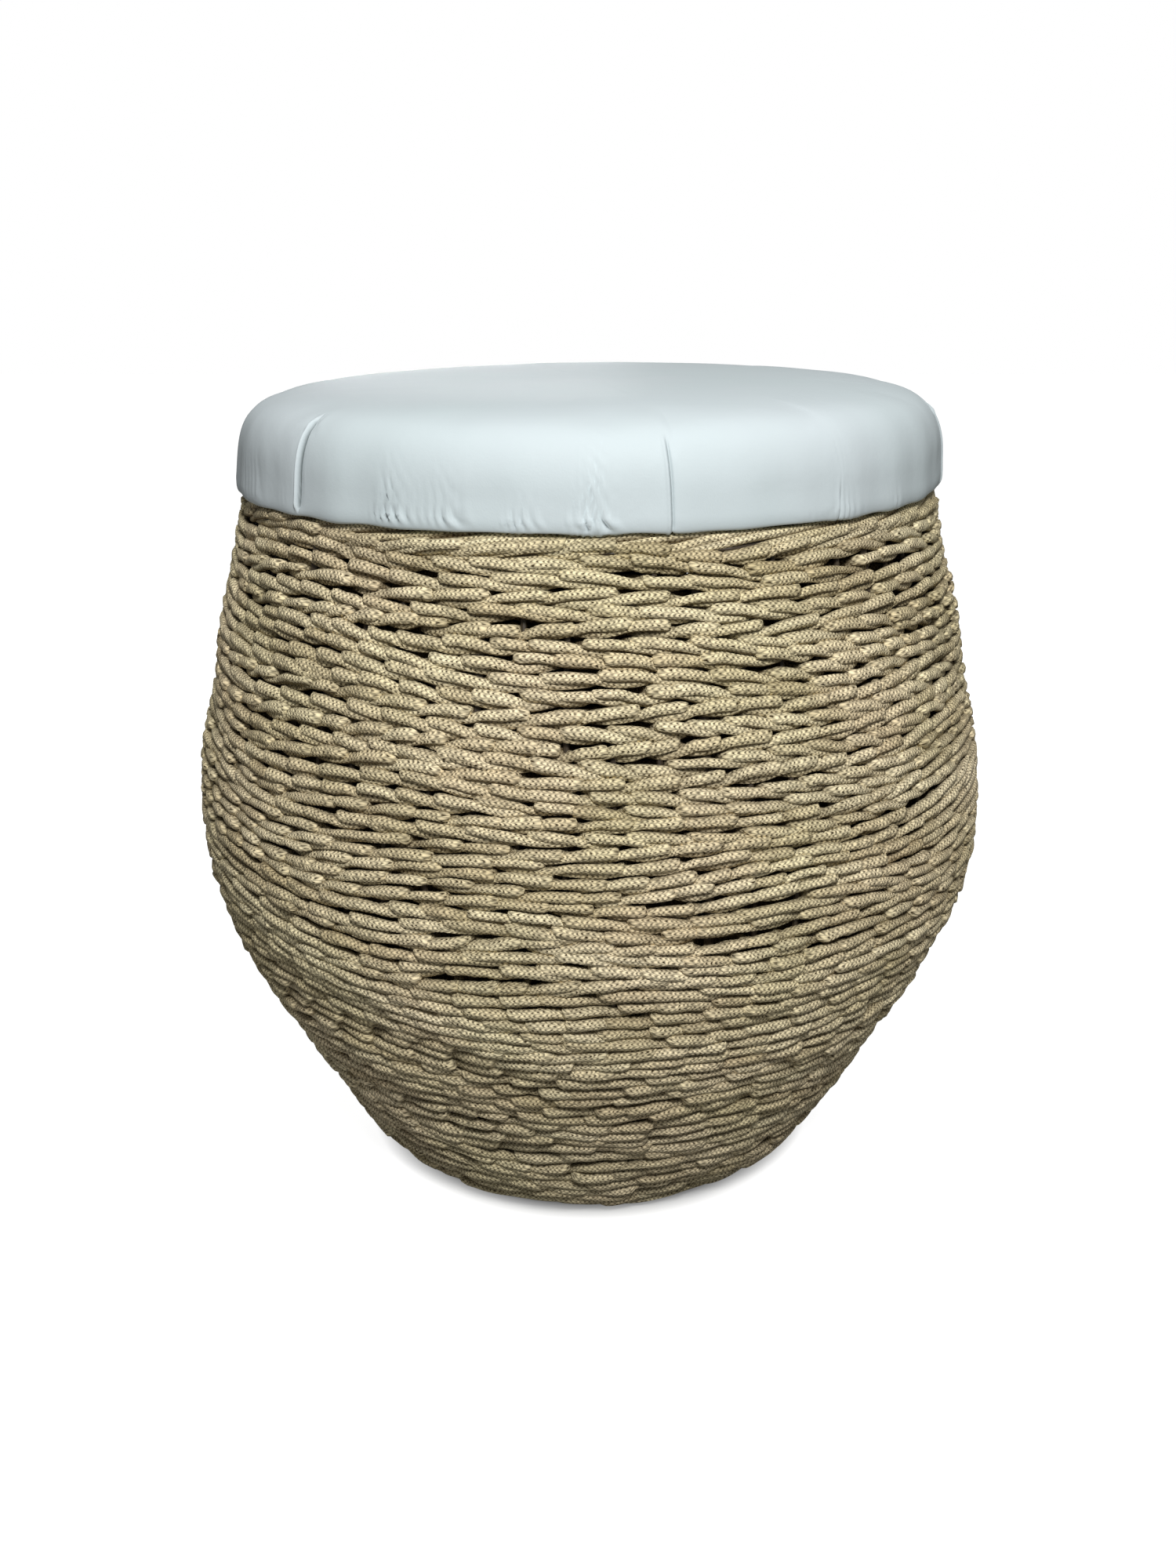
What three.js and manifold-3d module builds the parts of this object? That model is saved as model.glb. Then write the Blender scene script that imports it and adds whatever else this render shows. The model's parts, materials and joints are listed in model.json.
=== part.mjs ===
// Outdoor ottoman footstool: a pot-shaped drum of knitted rope woven round a steel rod cage,
// with a round upholstered seat pad that lifts off the drum's rim.
// Millimetres, +Z up, origin on the floor under the middle, -Y is the front.

import * as THREE from "three";
import { mergeVertices } from "three/addons/utils/BufferGeometryUtils.js";
import Module from "manifold-3d";

const wasm = await Module();
wasm.setup();

// Driving dimensions of the drum, over the rope
const rimHeight = 397;
const rimRadius = 195;
const bellyHeight = 212;
const bellyRadius = 227.5;
const footRadius = 133;
const footClearance = 4;
const footFlareAngle = 38;

// Clearances
const fitGap = 0.3;
const cutOverrun = 5;

// Rods of the cage, and the rope round them
const ringRodRadius = 5;
const uprightRadius = 3;
const hoopRodRadius = 2.5;
const ropeThickness = 3;
const wallHalf = ringRodRadius + fitGap + ropeThickness;
const uprightCount = 12;

// Base cross and glides
const glideRadius = 11;
const glideChamfer = 1.2;
const glideWallGap = 1;
const glideBoreDepth = 4;
const barWidth = 24;
const barThickness = 4;
const glideScrew = { headRadius: 4.5, headHeight: 2.4, shankRadius: 2.5, tipLength: 2 };

// Seat pad
const padHeight = 59;
const padOverhang = 2;
const padWidestHeight = 14;
const padBottomInset = 7;
const padPleatDepth = 3;
const padPuff = 1.2;
const coverThickness = 1.5;
const coverTurnUnder = 40;
const boardThickness = 12;
const boardInset = 5;
const dustClothThickness = 1;
const dustClothInset = 8;

// Locating blocks under the board
const blockWidth = 36;
const blockDepth = 12;
const blockHeight = 16;
const blockCorner = 3;
const blockRimGap = 2;
const blockScrew = { headRadius: 4, headHeight: 2, shankRadius: 2, tipLength: 8 };
const blockCount = 4;
const glideCount = 4;

// How finely round things are cut into flat faces
const drumSegments = 36;
const rodSides = 6;
const channelSides = 4;
const ringSides = 6;
const wrapSteps = 6;
const bandSteps = 3;
const smallSegments = 12;
const blockCornerSteps = 3;

// Outline of the drum as shares: how far up, and how far out, from the foot to the belly ...
const flankShares = [
  [0, 0], [0.08, 0.14], [0.17, 0.26], [0.28, 0.395], [0.41, 0.55], [0.59, 0.76], [0.77, 0.92], [0.9, 0.985],
];
// ... and how far up, and how far in, from the belly to the rim
const shoulderShares = [
  [0, 0], [0.14, 0.045], [0.35, 0.22], [0.55, 0.45], [0.76, 0.72], [0.87, 0.88], [0.94, 0.97], [0.97, 1], [1, 1],
];
// Hoops as shares of the climb from the foot to the belly, and from the belly to the rim
const lowerHoopShare = 0.45;
const shoulderHoopShare = 0.52;

// Seat pad: pleats by angle from the front, and the steps between two pleats as shares of their span
const pleatAngles = [-47, 11, 79, 136, 196, 254];
const pleatStepShares = [0, 0.06, 0.18, 0.34, 0.5, 0.66, 0.82, 0.94];
// How the side draws in under its widest place: share of its height, and of the bottom inset
const tuckShares = [[0, 1], [0.1, 0.55], [0.4, 0.12]];
// The rounded shoulder and flat crown, as a superellipse
const crownAngles = [0, 18, 36, 52, 66, 78];
const crownSideShare = 1 / 3;
const crownTopShare = 0.83;

const degree = Math.PI / 180;
const fullTurn = 2 * Math.PI;

// Colours and finishes
const finish = (color, roughness, metalness = 0) => new THREE.MeshStandardMaterial({ color, roughness, metalness });
const rope = finish(0xb7a47d, 0.85);
const leatherette = finish(0xdfe8ea, 0.45);
const foam = finish(0xefe3c4, 0.95);
const plywood = finish(0xc9a878, 0.7);
const dustCloth = finish(0x2a2a2c, 0.95);
const coatedSteel = finish(0x33302c, 0.5, 0.6);
const blackNylon = finish(0x1e1e1f, 0.5);
const blackRubber = finish(0x262627, 0.8);
const zincSteel = finish(0xb9bcc0, 0.35, 0.9);

// Closed meshes in and out of solids
function solidOf(geometry) {
  geometry.deleteAttribute("normal");
  geometry.deleteAttribute("uv");
  const merged = mergeVertices(geometry);
  const mesh = new wasm.Mesh({
    numProp: 3,
    vertProperties: new Float32Array(merged.attributes.position.array),
    triVerts: new Uint32Array(merged.index.array),
  });
  return new wasm.Manifold(mesh);
}

function geometryOf(solid) {
  const mesh = solid.getMesh();
  const geometry = new THREE.BufferGeometry();
  geometry.setAttribute("position", new THREE.BufferAttribute(mesh.vertProperties, 3));
  geometry.setIndex(new THREE.BufferAttribute(mesh.triVerts, 1));
  geometry.computeVertexNormals();
  return geometry;
}

// A solid turned about Z from an outline of [radius, height] points, in either order
function turned(outline, segments) {
  const doubledArea = outline.reduce((sum, [radius, height], index) => {
    const [nextRadius, nextHeight] = outline[(index + 1) % outline.length];
    return sum + radius * nextHeight - nextRadius * height;
  }, 0);
  const ordered = doubledArea > 0 ? outline : [...outline].reverse();
  const onAxis = ordered.some(([radius]) => radius === 0);
  const start = onAxis ? ordered.findIndex(([radius], index) => {
    const [previous] = ordered[(index + ordered.length - 1) % ordered.length];
    return radius === 0 && previous === 0;
  }) : 0;
  const loop = ordered.map((point, index) => ordered[(index + start) % ordered.length]);
  const closed = onAxis ? loop : [...loop, loop[0]];
  const points = closed.map(([radius, height]) => new THREE.Vector2(radius, height));
  return new THREE.LatheGeometry(points, segments).rotateX(Math.PI / 2);
}

// An upright hole to cut, from one height to another, at a place on a circle round the axis
function drill(radius, bottom, top, circle, angle) {
  const bit = new THREE.CylinderGeometry(radius, radius, top - bottom, smallSegments).rotateX(Math.PI / 2);
  return solidOf(bit.translate(circle, 0, (bottom + top) / 2).rotateZ(angle));
}

// How far out a flat end of a given half width may reach inside a faceted ring
function chordReach(ringRadius, halfWidth, segments) {
  const inner = ringRadius * Math.cos(Math.PI / segments);
  return Math.sqrt(inner * inner - halfWidth * halfWidth);
}

// The drum's outer outline as a curve in the XZ plane
const footHeight = footClearance + wallHalf * (1 - Math.sin(footFlareAngle * degree));
const drumRimHeight = rimHeight - wallHalf;
const outline = new THREE.CatmullRomCurve3([
  ...flankShares.map(([up, out]) => new THREE.Vector3(
    THREE.MathUtils.lerp(footRadius, bellyRadius, out), 0, THREE.MathUtils.lerp(footHeight, bellyHeight, up),
  )),
  ...shoulderShares.map(([up, inward]) => new THREE.Vector3(
    THREE.MathUtils.lerp(bellyRadius, rimRadius, inward), 0, THREE.MathUtils.lerp(bellyHeight, drumRimHeight, up),
  )),
], false, "centripetal");

// A place in the wall: share along the outline, then steps outwards and along the wall from its middle
function wallPoint(share, outwards, along = 0) {
  const face = outline.getPointAt(share);
  const tangent = outline.getTangentAt(share);
  return [
    face.x + tangent.z * (outwards - wallHalf) + tangent.x * along,
    face.z - tangent.x * (outwards - wallHalf) + tangent.z * along,
  ];
}

function shareAtHeight(height) {
  let low = 0;
  let high = 1;
  while (high - low > Number.EPSILON) {
    const middle = (low + high) / 2;
    if (middle === low || middle === high) break;
    if (outline.getPointAt(middle).z < height) low = middle;
    else high = middle;
  }
  return low;
}

// Where the hoops lie along the outline, and where the wall between them has its sections
const hoopShares = {
  lower: shareAtHeight(THREE.MathUtils.lerp(footHeight, bellyHeight, lowerHoopShare)),
  belly: shareAtHeight(bellyHeight),
  shoulder: shareAtHeight(THREE.MathUtils.lerp(bellyHeight, drumRimHeight, shoulderHoopShare)),
};
const bandEndShares = [0, ...Object.values(hoopShares), 1];
const sectionShares = (from, to) => (
  Array.from({ length: bandSteps }, (_, step) => THREE.MathUtils.lerp(from, to, step / bandSteps))
);
const wallShares = [...bandEndShares.slice(1).flatMap((to, band) => sectionShares(bandEndShares[band], to)), 1];

// The middle line of the wall, on which the uprights and both rings lie: straight steps between the
// wall's sections, with both ends set back from the rings
class WallMiddle extends THREE.Curve {
  constructor(setback) {
    super();
    this.points = wallShares.map((share) => {
      const [radius, height] = wallPoint(share, 0);
      return new THREE.Vector3(radius, 0, height);
    });
    const trim = (end, next) => end.add(next.clone().sub(end).setLength(setback));
    trim(this.points.at(0), this.points.at(1));
    trim(this.points.at(-1), this.points.at(-2));
  }

  getPoint(t) {
    const place = t * (this.points.length - 1);
    const step = Math.min(Math.floor(place), this.points.length - 2);
    return this.points[step].clone().lerp(this.points[step + 1], place - step);
  }

  getPointAt(t) {
    return this.getPoint(t);
  }

  getTangentAt(t) {
    return this.getTangent(t);
  }
}

const [baseRingRadius, baseRingHeight] = wallPoint(0, 0);
const [topRingRadius] = wallPoint(1, 0);

// Rods
function polygonPoints(radius, sides, turn = 0) {
  return Array.from({ length: sides }, (_, side) => {
    const angle = (side / sides) * fullTurn + turn;
    return [radius * Math.cos(angle), radius * Math.sin(angle)];
  });
}

function ringRod(share, setback, rodRadius, sides) {
  const section = polygonPoints(rodRadius, sides);
  return turned(section.map(([x, y]) => wallPoint(share, x - setback, y)), drumSegments);
}

function uprightRod(radius, sides, setback) {
  const corners = polygonPoints(radius, sides, Math.PI / sides);
  const section = new THREE.Shape(corners.map(([x, y]) => new THREE.Vector2(x, y)));
  return new THREE.ExtrudeGeometry(section, {
    steps: wallShares.length - 1,
    extrudePath: new WallMiddle(setback),
    bevelEnabled: false,
  });
}

// Woven bands: each end of a band is a list of [outwards, along] points, from the outer face to the inner
const grooveRadius = ringRodRadius + fitGap / Math.cos(Math.PI / ringSides);
const ringEnd = (side) => [
  [wallHalf, side * fitGap / 2],
  [grooveRadius, side * fitGap / 2],
  ...polygonPoints(grooveRadius, ringSides).slice(1, ringSides / 2).map(([x, y]) => [x, side * y]),
  [-grooveRadius, side * fitGap / 2],
  [-wallHalf, side * fitGap / 2],
];
const hoopEnd = (side) => [
  [wallHalf, side * fitGap / 2],
  [-uprightRadius, side * fitGap / 2],
  [-uprightRadius, side * (hoopRodRadius + fitGap)],
  [-wallHalf, side * (hoopRodRadius + fitGap)],
];

function bandOutline(from, to, lowerEnd, upperEnd) {
  const stations = sectionShares(from, to).slice(1);
  return [
    ...lowerEnd.map(([outwards, along]) => wallPoint(from, outwards, along)).reverse(),
    ...stations.map((share) => wallPoint(share, wallHalf)),
    ...upperEnd.map(([outwards, along]) => wallPoint(to, outwards, along)),
    ...stations.map((share) => wallPoint(share, -wallHalf)).reverse(),
  ];
}

// Half a sleeve of rope round a ring, on the side of it away from the wall
function wrapOutline(share, side) {
  const outer = Array.from({ length: wrapSteps + 1 }, (_, step) => (step / wrapSteps) * Math.PI)
    .map((angle) => [wallHalf * Math.cos(angle), side * (wallHalf * Math.sin(angle) + fitGap / 2)]);
  const inner = polygonPoints(grooveRadius, ringSides).slice(0, ringSides / 2 + 1).reverse()
    .map(([x, y]) => [x, side * (y + fitGap / 2)]);
  return [...outer, ...inner].map(([outwards, along]) => wallPoint(share, outwards, along));
}

// The model
const ottoman = new THREE.Group();
ottoman.name = "outdoor_ottoman";

function addPart(name, geometry, material, parent = ottoman) {
  const mesh = new THREE.Mesh(geometry, material);
  mesh.name = name;
  parent.add(mesh);
  return mesh;
}

// Uprights, every one the same rod turned about Z
const uprightSetback = ringRodRadius + fitGap;
const uprightAngles = Array.from({ length: uprightCount }, (_, index) => ((index + 0.5) / uprightCount) * fullTurn);
uprightAngles.forEach((angle, index) => {
  const geometry = uprightRod(uprightRadius, rodSides, uprightSetback);
  const number = String(index + 1).padStart(2, "0");
  addPart(`upright_${number}`, geometry, coatedSteel).rotation.z = angle;
});
const channelRadius = (uprightRadius + fitGap) / Math.cos(Math.PI / channelSides);
const channels = uprightAngles
  .map((angle) => solidOf(uprightRod(channelRadius, channelSides, 0).rotateZ(angle)))
  .reduce((all, channel) => all.add(channel));

// Rings and hoops
addPart("top_ring", ringRod(1, 0, ringRodRadius, ringSides), coatedSteel);
addPart("base_ring", ringRod(0, 0, ringRodRadius, ringSides), coatedSteel);
const hoopSetback = uprightRadius + fitGap + hoopRodRadius;
for (const [place, share] of Object.entries(hoopShares)) {
  addPart(`${place}_hoop`, ringRod(share, hoopSetback, hoopRodRadius, rodSides), coatedSteel);
}

// Woven rope
const bands = {
  weave_base: [0, hoopShares.lower, ringEnd(1), hoopEnd(-1)],
  weave_flank: [hoopShares.lower, hoopShares.belly, hoopEnd(1), hoopEnd(-1)],
  weave_belly: [hoopShares.belly, hoopShares.shoulder, hoopEnd(1), hoopEnd(-1)],
  weave_shoulder: [hoopShares.shoulder, 1, hoopEnd(1), ringEnd(-1)],
};
for (const [name, [from, to, lowerEnd, upperEnd]] of Object.entries(bands)) {
  const band = solidOf(turned(bandOutline(from, to, lowerEnd, upperEnd), drumSegments));
  addPart(name, geometryOf(band.subtract(channels)), rope);
}
addPart("rim_wrap", turned(wrapOutline(1, 1), drumSegments), rope);

// Base cross: one bar right across and two halves, each let into the foot's rope up to the base ring
const barReach = chordReach(baseRingRadius - ringRodRadius - fitGap, barWidth / 2, drumSegments);
const glideHeight = baseRingHeight - barThickness / 2;
const barTop = glideHeight + barThickness;
const glideCircle = baseRingRadius - wallHalf - glideRadius - glideWallGap;
const glideHoleRadius = glideScrew.shankRadius + fitGap;
const glideAngles = Array.from({ length: glideCount }, (_, index) => (index / glideCount) * fullTurn);
const glideHoles = glideAngles
  .map((angle) => drill(glideHoleRadius, glideHeight - cutOverrun, barTop + cutOverrun, glideCircle, angle))
  .reduce((all, hole) => all.add(hole));

function barSolid(from, to, angle, allowance = 0) {
  const bar = new THREE.BoxGeometry(to - from, barWidth + 2 * allowance, barThickness + 2 * allowance);
  return solidOf(bar.translate((from + to) / 2, 0, baseRingHeight).rotateZ(angle));
}

const halfBarStart = barWidth / 2 + fitGap;
const bars = {
  base_bar_long: barSolid(-barReach, barReach, 0),
  base_bar_back: barSolid(halfBarStart, barReach, Math.PI / 2),
  base_bar_front: barSolid(halfBarStart, barReach, -Math.PI / 2),
};
for (const [name, bar] of Object.entries(bars)) {
  addPart(name, geometryOf(bar.subtract(glideHoles)), coatedSteel);
}
const barSlots = barSolid(-baseRingRadius, baseRingRadius, 0, fitGap)
  .add(barSolid(-baseRingRadius, baseRingRadius, Math.PI / 2, fitGap));
addPart("foot_wrap", geometryOf(solidOf(turned(wrapOutline(0, -1), drumSegments)).subtract(barSlots)), rope);

// A screw standing head down: the head's upper face is at height zero
function screwOutline(screw, gripLength) {
  return [
    [0, -screw.headHeight],
    [screw.headRadius, -screw.headHeight],
    [screw.headRadius, 0],
    [screw.shankRadius, 0],
    [screw.shankRadius, gripLength + screw.tipLength],
    [0, gripLength + screw.tipLength],
  ];
}

// Glides, each screwed up into its bar from a bore in its foot
const glideBoreRadius = glideScrew.headRadius + fitGap;
const glideOutline = [
  [glideHoleRadius, glideHeight],
  [glideRadius, glideHeight],
  [glideRadius, glideChamfer],
  [glideRadius - glideChamfer, 0],
  [glideBoreRadius, 0],
  [glideBoreRadius, glideBoreDepth],
  [glideHoleRadius, glideBoreDepth],
];
const glideGrip = glideHeight - glideBoreDepth + barThickness;
glideAngles.forEach((angle, index) => {
  const place = new THREE.Group();
  place.rotation.z = angle;
  ottoman.add(place);
  addPart(`glide_${index + 1}`, turned(glideOutline, smallSegments), blackNylon, place).position.x = glideCircle;
  const screw = turned(screwOutline(glideScrew, glideGrip), smallSegments);
  addPart(`glide_screw_${index + 1}`, screw, zincSteel, place).position.set(glideCircle, 0, glideBoreDepth);
});

// Seat pad: the heights of its layers, from the rim up
const rimTop = Math.max(...wrapOutline(1, 1).map(([, height]) => height));
const padBottom = rimTop + fitGap;
const padRadius = rimRadius + padOverhang;
const boardBottom = padBottom + coverThickness + fitGap;
const boardRadius = padRadius - padBottomInset - coverThickness - boardInset;
const flangeRadius = padRadius - padBottomInset - coverTurnUnder;
const dustClothTop = padBottom - fitGap;
const dustClothRadius = topRingRadius - wallHalf - dustClothInset;
const blockTop = dustClothTop - dustClothThickness;

// Rings of the pad's outer face, shrunk by a skin thickness, from the bottom edge to the crown:
// each is a radius, a height and how much of the pleats' depth it has
function padRings(skin) {
  const widest = padRadius - skin;
  const widestHeight = padBottom + padWidestHeight;
  const crown = padHeight - padWidestHeight - skin;
  const tucked = tuckShares.map(([up, inward]) => [
    widest - padBottomInset * inward,
    THREE.MathUtils.lerp(padBottom + skin, widestHeight, up),
    1,
  ]);
  const crowned = crownAngles.map((angle) => [
    widest * Math.cos(angle * degree) ** crownSideShare,
    widestHeight + crown * Math.sin(angle * degree) ** crownTopShare,
    Math.cos(angle * degree) ** 2,
  ]);
  return [...tucked, ...crowned];
}

// Steps round the pad: an angle, and 1 at a pleat, falling to 0 beside it, with a puff between pleats
const padColumns = pleatAngles.flatMap((pleat, index) => {
  const next = pleatAngles[index + 1] ?? pleatAngles[0] + 360;
  return pleatStepShares.map((share) => ({
    angle: (THREE.MathUtils.lerp(pleat, next, share) - 90) * degree,
    pleat: share === 0 ? 1 : 0,
    puff: Math.sin(share * Math.PI),
  }));
});

// A closed solid from rings of columns, capped by a point on the axis at each end
function ringedSolid(rings, bottomHeight, topHeight) {
  const count = padColumns.length;
  const positions = rings.flatMap(([radius, height, fold]) => padColumns.flatMap(({ angle, pleat, puff }) => {
    const drawn = radius + fold * (padPuff * puff - padPleatDepth * pleat);
    return [drawn * Math.cos(angle), drawn * Math.sin(angle), height];
  }));
  positions.push(0, 0, bottomHeight, 0, 0, topHeight);
  const bottom = rings.length * count;
  const faces = padColumns.flatMap((_, column) => {
    const next = (column + 1) % count;
    const last = (rings.length - 1) * count;
    const sides = rings.slice(1).flatMap((__, ring) => {
      const low = ring * count;
      const high = low + count;
      return [low + column, low + next, high + next, low + column, high + next, high + column];
    });
    return [...sides, bottom, next, column, bottom + 1, last + column, last + next];
  });
  const geometry = new THREE.BufferGeometry();
  geometry.setAttribute("position", new THREE.Float32BufferAttribute(positions, 3));
  geometry.setIndex(faces);
  return solidOf(geometry);
}

const seat = new THREE.Group();
seat.name = "seat";
ottoman.add(seat);

// Screw places under the board
const blockReach = chordReach(topRingRadius - wallHalf - blockRimGap, blockWidth / 2, drumSegments);
const blockMiddle = blockReach - blockDepth / 2;
const blockHoleRadius = blockScrew.shankRadius + fitGap;
const blockGrip = boardBottom - blockTop + blockHeight;
const blockAngles = Array.from({ length: blockCount }, (_, index) => (index / blockCount) * fullTurn);
const screwHoleTop = blockTop - blockHeight + blockGrip + blockScrew.tipLength + fitGap;
const blockHoles = blockAngles
  .map((angle) => drill(blockHoleRadius, blockTop - cutOverrun, screwHoleTop, blockMiddle, angle))
  .reduce((all, hole) => all.add(hole));

// Cover, pulled under the board and open beneath; foam on the board; board; dust cloth
const coverOuter = ringedSolid(padRings(0), padBottom, padBottom + padHeight);
const coverInner = ringedSolid(
  padRings(coverThickness), padBottom + coverThickness, padBottom + padHeight - coverThickness,
);
const flangeHole = solidOf(turned([
  [0, padBottom - cutOverrun],
  [flangeRadius, padBottom - cutOverrun],
  [flangeRadius, padBottom + coverThickness + fitGap],
  [0, padBottom + coverThickness + fitGap],
], drumSegments));
const coverShell = coverOuter.subtract(coverInner).subtract(flangeHole).subtract(blockHoles);
addPart("seat_cover", geometryOf(coverShell), leatherette, seat);

const foamSkin = coverThickness + fitGap;
const boardSpace = solidOf(turned([
  [0, padBottom - cutOverrun],
  [boardRadius + fitGap, padBottom - cutOverrun],
  [boardRadius + fitGap, boardBottom + boardThickness + fitGap],
  [0, boardBottom + boardThickness + fitGap],
], drumSegments));
const foamWhole = ringedSolid(padRings(foamSkin), padBottom + foamSkin, padBottom + padHeight - foamSkin);
addPart("seat_foam", geometryOf(foamWhole.subtract(boardSpace)), foam, seat);

const disc = (radius, bottom, thickness) => solidOf(turned([
  [0, bottom], [radius, bottom], [radius, bottom + thickness], [0, bottom + thickness],
], drumSegments));
addPart("seat_board", geometryOf(disc(boardRadius, boardBottom, boardThickness).subtract(blockHoles)), plywood, seat);
const cloth = disc(dustClothRadius, blockTop, dustClothThickness);
addPart("dust_cloth", geometryOf(cloth.subtract(blockHoles)), dustCloth, seat);

// Locating blocks, with rounded corners and a screw hole
function blockGeometry() {
  const x = blockDepth / 2 - blockCorner;
  const y = blockWidth / 2 - blockCorner;
  const shape = new THREE.Shape();
  shape.absarc(x, y, blockCorner, 0, Math.PI / 2);
  shape.absarc(-x, y, blockCorner, Math.PI / 2, Math.PI);
  shape.absarc(-x, -y, blockCorner, Math.PI, 1.5 * Math.PI);
  shape.absarc(x, -y, blockCorner, 1.5 * Math.PI, fullTurn);
  const block = new THREE.ExtrudeGeometry(shape, {
    depth: blockHeight,
    curveSegments: blockCornerSteps,
    bevelEnabled: false,
  });
  return geometryOf(solidOf(block).subtract(drill(blockHoleRadius, -cutOverrun, blockHeight + cutOverrun, 0, 0)));
}

blockAngles.forEach((angle, index) => {
  const place = new THREE.Group();
  place.rotation.z = angle;
  place.position.z = blockTop - blockHeight;
  seat.add(place);
  addPart(`locating_block_${index + 1}`, blockGeometry(), blackRubber, place).position.x = blockMiddle;
  const screw = turned(screwOutline(blockScrew, blockGrip), smallSegments);
  addPart(`block_screw_${index + 1}`, screw, zincSteel, place).position.x = blockMiddle;
});

export default ottoman;
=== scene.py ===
import json
import math
from functools import partial

import bpy
import numpy as np
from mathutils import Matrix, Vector

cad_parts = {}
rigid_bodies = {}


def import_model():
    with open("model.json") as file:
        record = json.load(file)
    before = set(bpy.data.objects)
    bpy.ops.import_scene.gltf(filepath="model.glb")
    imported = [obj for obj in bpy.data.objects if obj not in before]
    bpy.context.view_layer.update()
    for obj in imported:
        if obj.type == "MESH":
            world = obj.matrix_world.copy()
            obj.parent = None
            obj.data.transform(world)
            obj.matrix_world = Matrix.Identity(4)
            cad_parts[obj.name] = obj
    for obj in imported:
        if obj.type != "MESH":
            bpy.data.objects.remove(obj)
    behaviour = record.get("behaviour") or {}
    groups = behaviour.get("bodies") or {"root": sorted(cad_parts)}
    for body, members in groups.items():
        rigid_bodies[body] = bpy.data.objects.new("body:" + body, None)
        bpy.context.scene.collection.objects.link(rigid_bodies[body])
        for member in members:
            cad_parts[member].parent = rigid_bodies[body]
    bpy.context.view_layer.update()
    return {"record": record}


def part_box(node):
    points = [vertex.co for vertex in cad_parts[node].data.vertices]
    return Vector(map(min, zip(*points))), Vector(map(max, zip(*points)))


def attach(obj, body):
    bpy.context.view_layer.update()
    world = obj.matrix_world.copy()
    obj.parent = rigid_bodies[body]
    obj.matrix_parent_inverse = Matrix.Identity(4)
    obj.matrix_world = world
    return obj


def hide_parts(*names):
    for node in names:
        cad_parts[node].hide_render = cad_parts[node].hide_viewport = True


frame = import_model()

MM = 0.001
TURN = 2 * math.pi
# Keeps divisions and comparisons clear of rounding
TINY = 1e-9


def new_object(name, data):
    """A new object in the scene."""
    made = bpy.data.objects.new(name, data)
    bpy.context.scene.collection.objects.link(made)
    return made


# Camera, where the photograph was taken from
PHOTO_SIZE = (1500, 2000)
PHOTO_MIDDLE = (752, 967)
FOCAL_PIXELS = 2010
CAMERA_DISTANCE = 900 * MM
CAMERA_HEIGHT = 521.4 * MM
CAMERA_TILT = math.radians(18)

camera_data = bpy.data.cameras.new("photo_camera")
camera_data.lens = camera_data.sensor_width * FOCAL_PIXELS / max(PHOTO_SIZE)
camera_data.shift_x = (PHOTO_SIZE[0] / 2 - PHOTO_MIDDLE[0]) / max(PHOTO_SIZE)
camera_data.shift_y = (PHOTO_MIDDLE[1] - PHOTO_SIZE[1] / 2) / max(PHOTO_SIZE)
camera_data.dof.use_dof = False
camera = new_object("photo_camera", camera_data)
camera.location = (0, -CAMERA_DISTANCE, CAMERA_HEIGHT)
camera.rotation_euler = (math.pi / 2 - CAMERA_TILT, 0, 0)
bpy.context.scene.camera = camera


# Sizes of the drum, from the frame. A ring is the radius and height of its rod's middle
top_ring_low, top_ring_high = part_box("top_ring")
base_ring_low, base_ring_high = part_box("base_ring")
RING_ROD_RADIUS = (top_ring_high.z - top_ring_low.z) / 2
RIM_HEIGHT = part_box("rim_wrap")[1].z
RIM_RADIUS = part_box("rim_wrap")[1].x
WALL_HALF = RIM_RADIUS - top_ring_high.x + RING_ROD_RADIUS
TOP_RING = (top_ring_high.x - RING_ROD_RADIUS, RIM_HEIGHT - WALL_HALF)
BASE_RING = (base_ring_high.x - RING_ROD_RADIUS, (base_ring_low.z + base_ring_high.z) / 2)
BELLY_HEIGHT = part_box("weave_flank")[1].z
BELLY_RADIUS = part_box("weave_belly")[1].x
# How far round under the base ring the wall's outer face ends
FOOT_FLARE = math.radians(38)
FOOT_RADIUS = BASE_RING[0] + WALL_HALF * math.cos(FOOT_FLARE)
FOOT_HEIGHT = BASE_RING[1] - WALL_HALF * math.sin(FOOT_FLARE)

# The drum's outline as shares: how far up and out from the foot to the belly, then up and in to the rim
FLANK_SHARES = [
    (0, 0), (0.08, 0.14), (0.17, 0.26), (0.28, 0.395), (0.41, 0.55), (0.59, 0.76), (0.77, 0.92), (0.9, 0.985),
]
SHOULDER_SHARES = [
    (0, 0), (0.14, 0.045), (0.35, 0.22), (0.55, 0.45), (0.76, 0.72), (0.87, 0.88), (0.94, 0.97), (1, 1),
]
OUTLINE_HALVINGS = 3
SLOPE_STEP = 2 * MM


def unit(vectors):
    """Vectors made one long."""
    return vectors / np.linalg.norm(vectors, axis=-1, keepdims=True)


def share_between(values, low, high):
    """How far values are on from a low one to a high one, from 0 to 1."""
    return np.clip((values - low) / (high - low), 0, 1)


def eased(values, low, high):
    """A smooth step from 0 at the low value to 1 at the high one."""
    share = share_between(values, low, high)
    return share * share * (3 - 2 * share)


def halved(keys, ahead, behind):
    """Keys with a smooth one between each two: the keys beyond both ends carry the curve past them."""
    padded = np.vstack([ahead, keys, behind])
    middles = (9 * (padded[1:-2] + padded[2:-1]) - padded[:-3] - padded[3:]) / 16
    mixed = np.empty((len(keys) + len(middles), keys.shape[1]))
    mixed[0::2] = keys
    mixed[1::2] = middles
    return mixed


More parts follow.
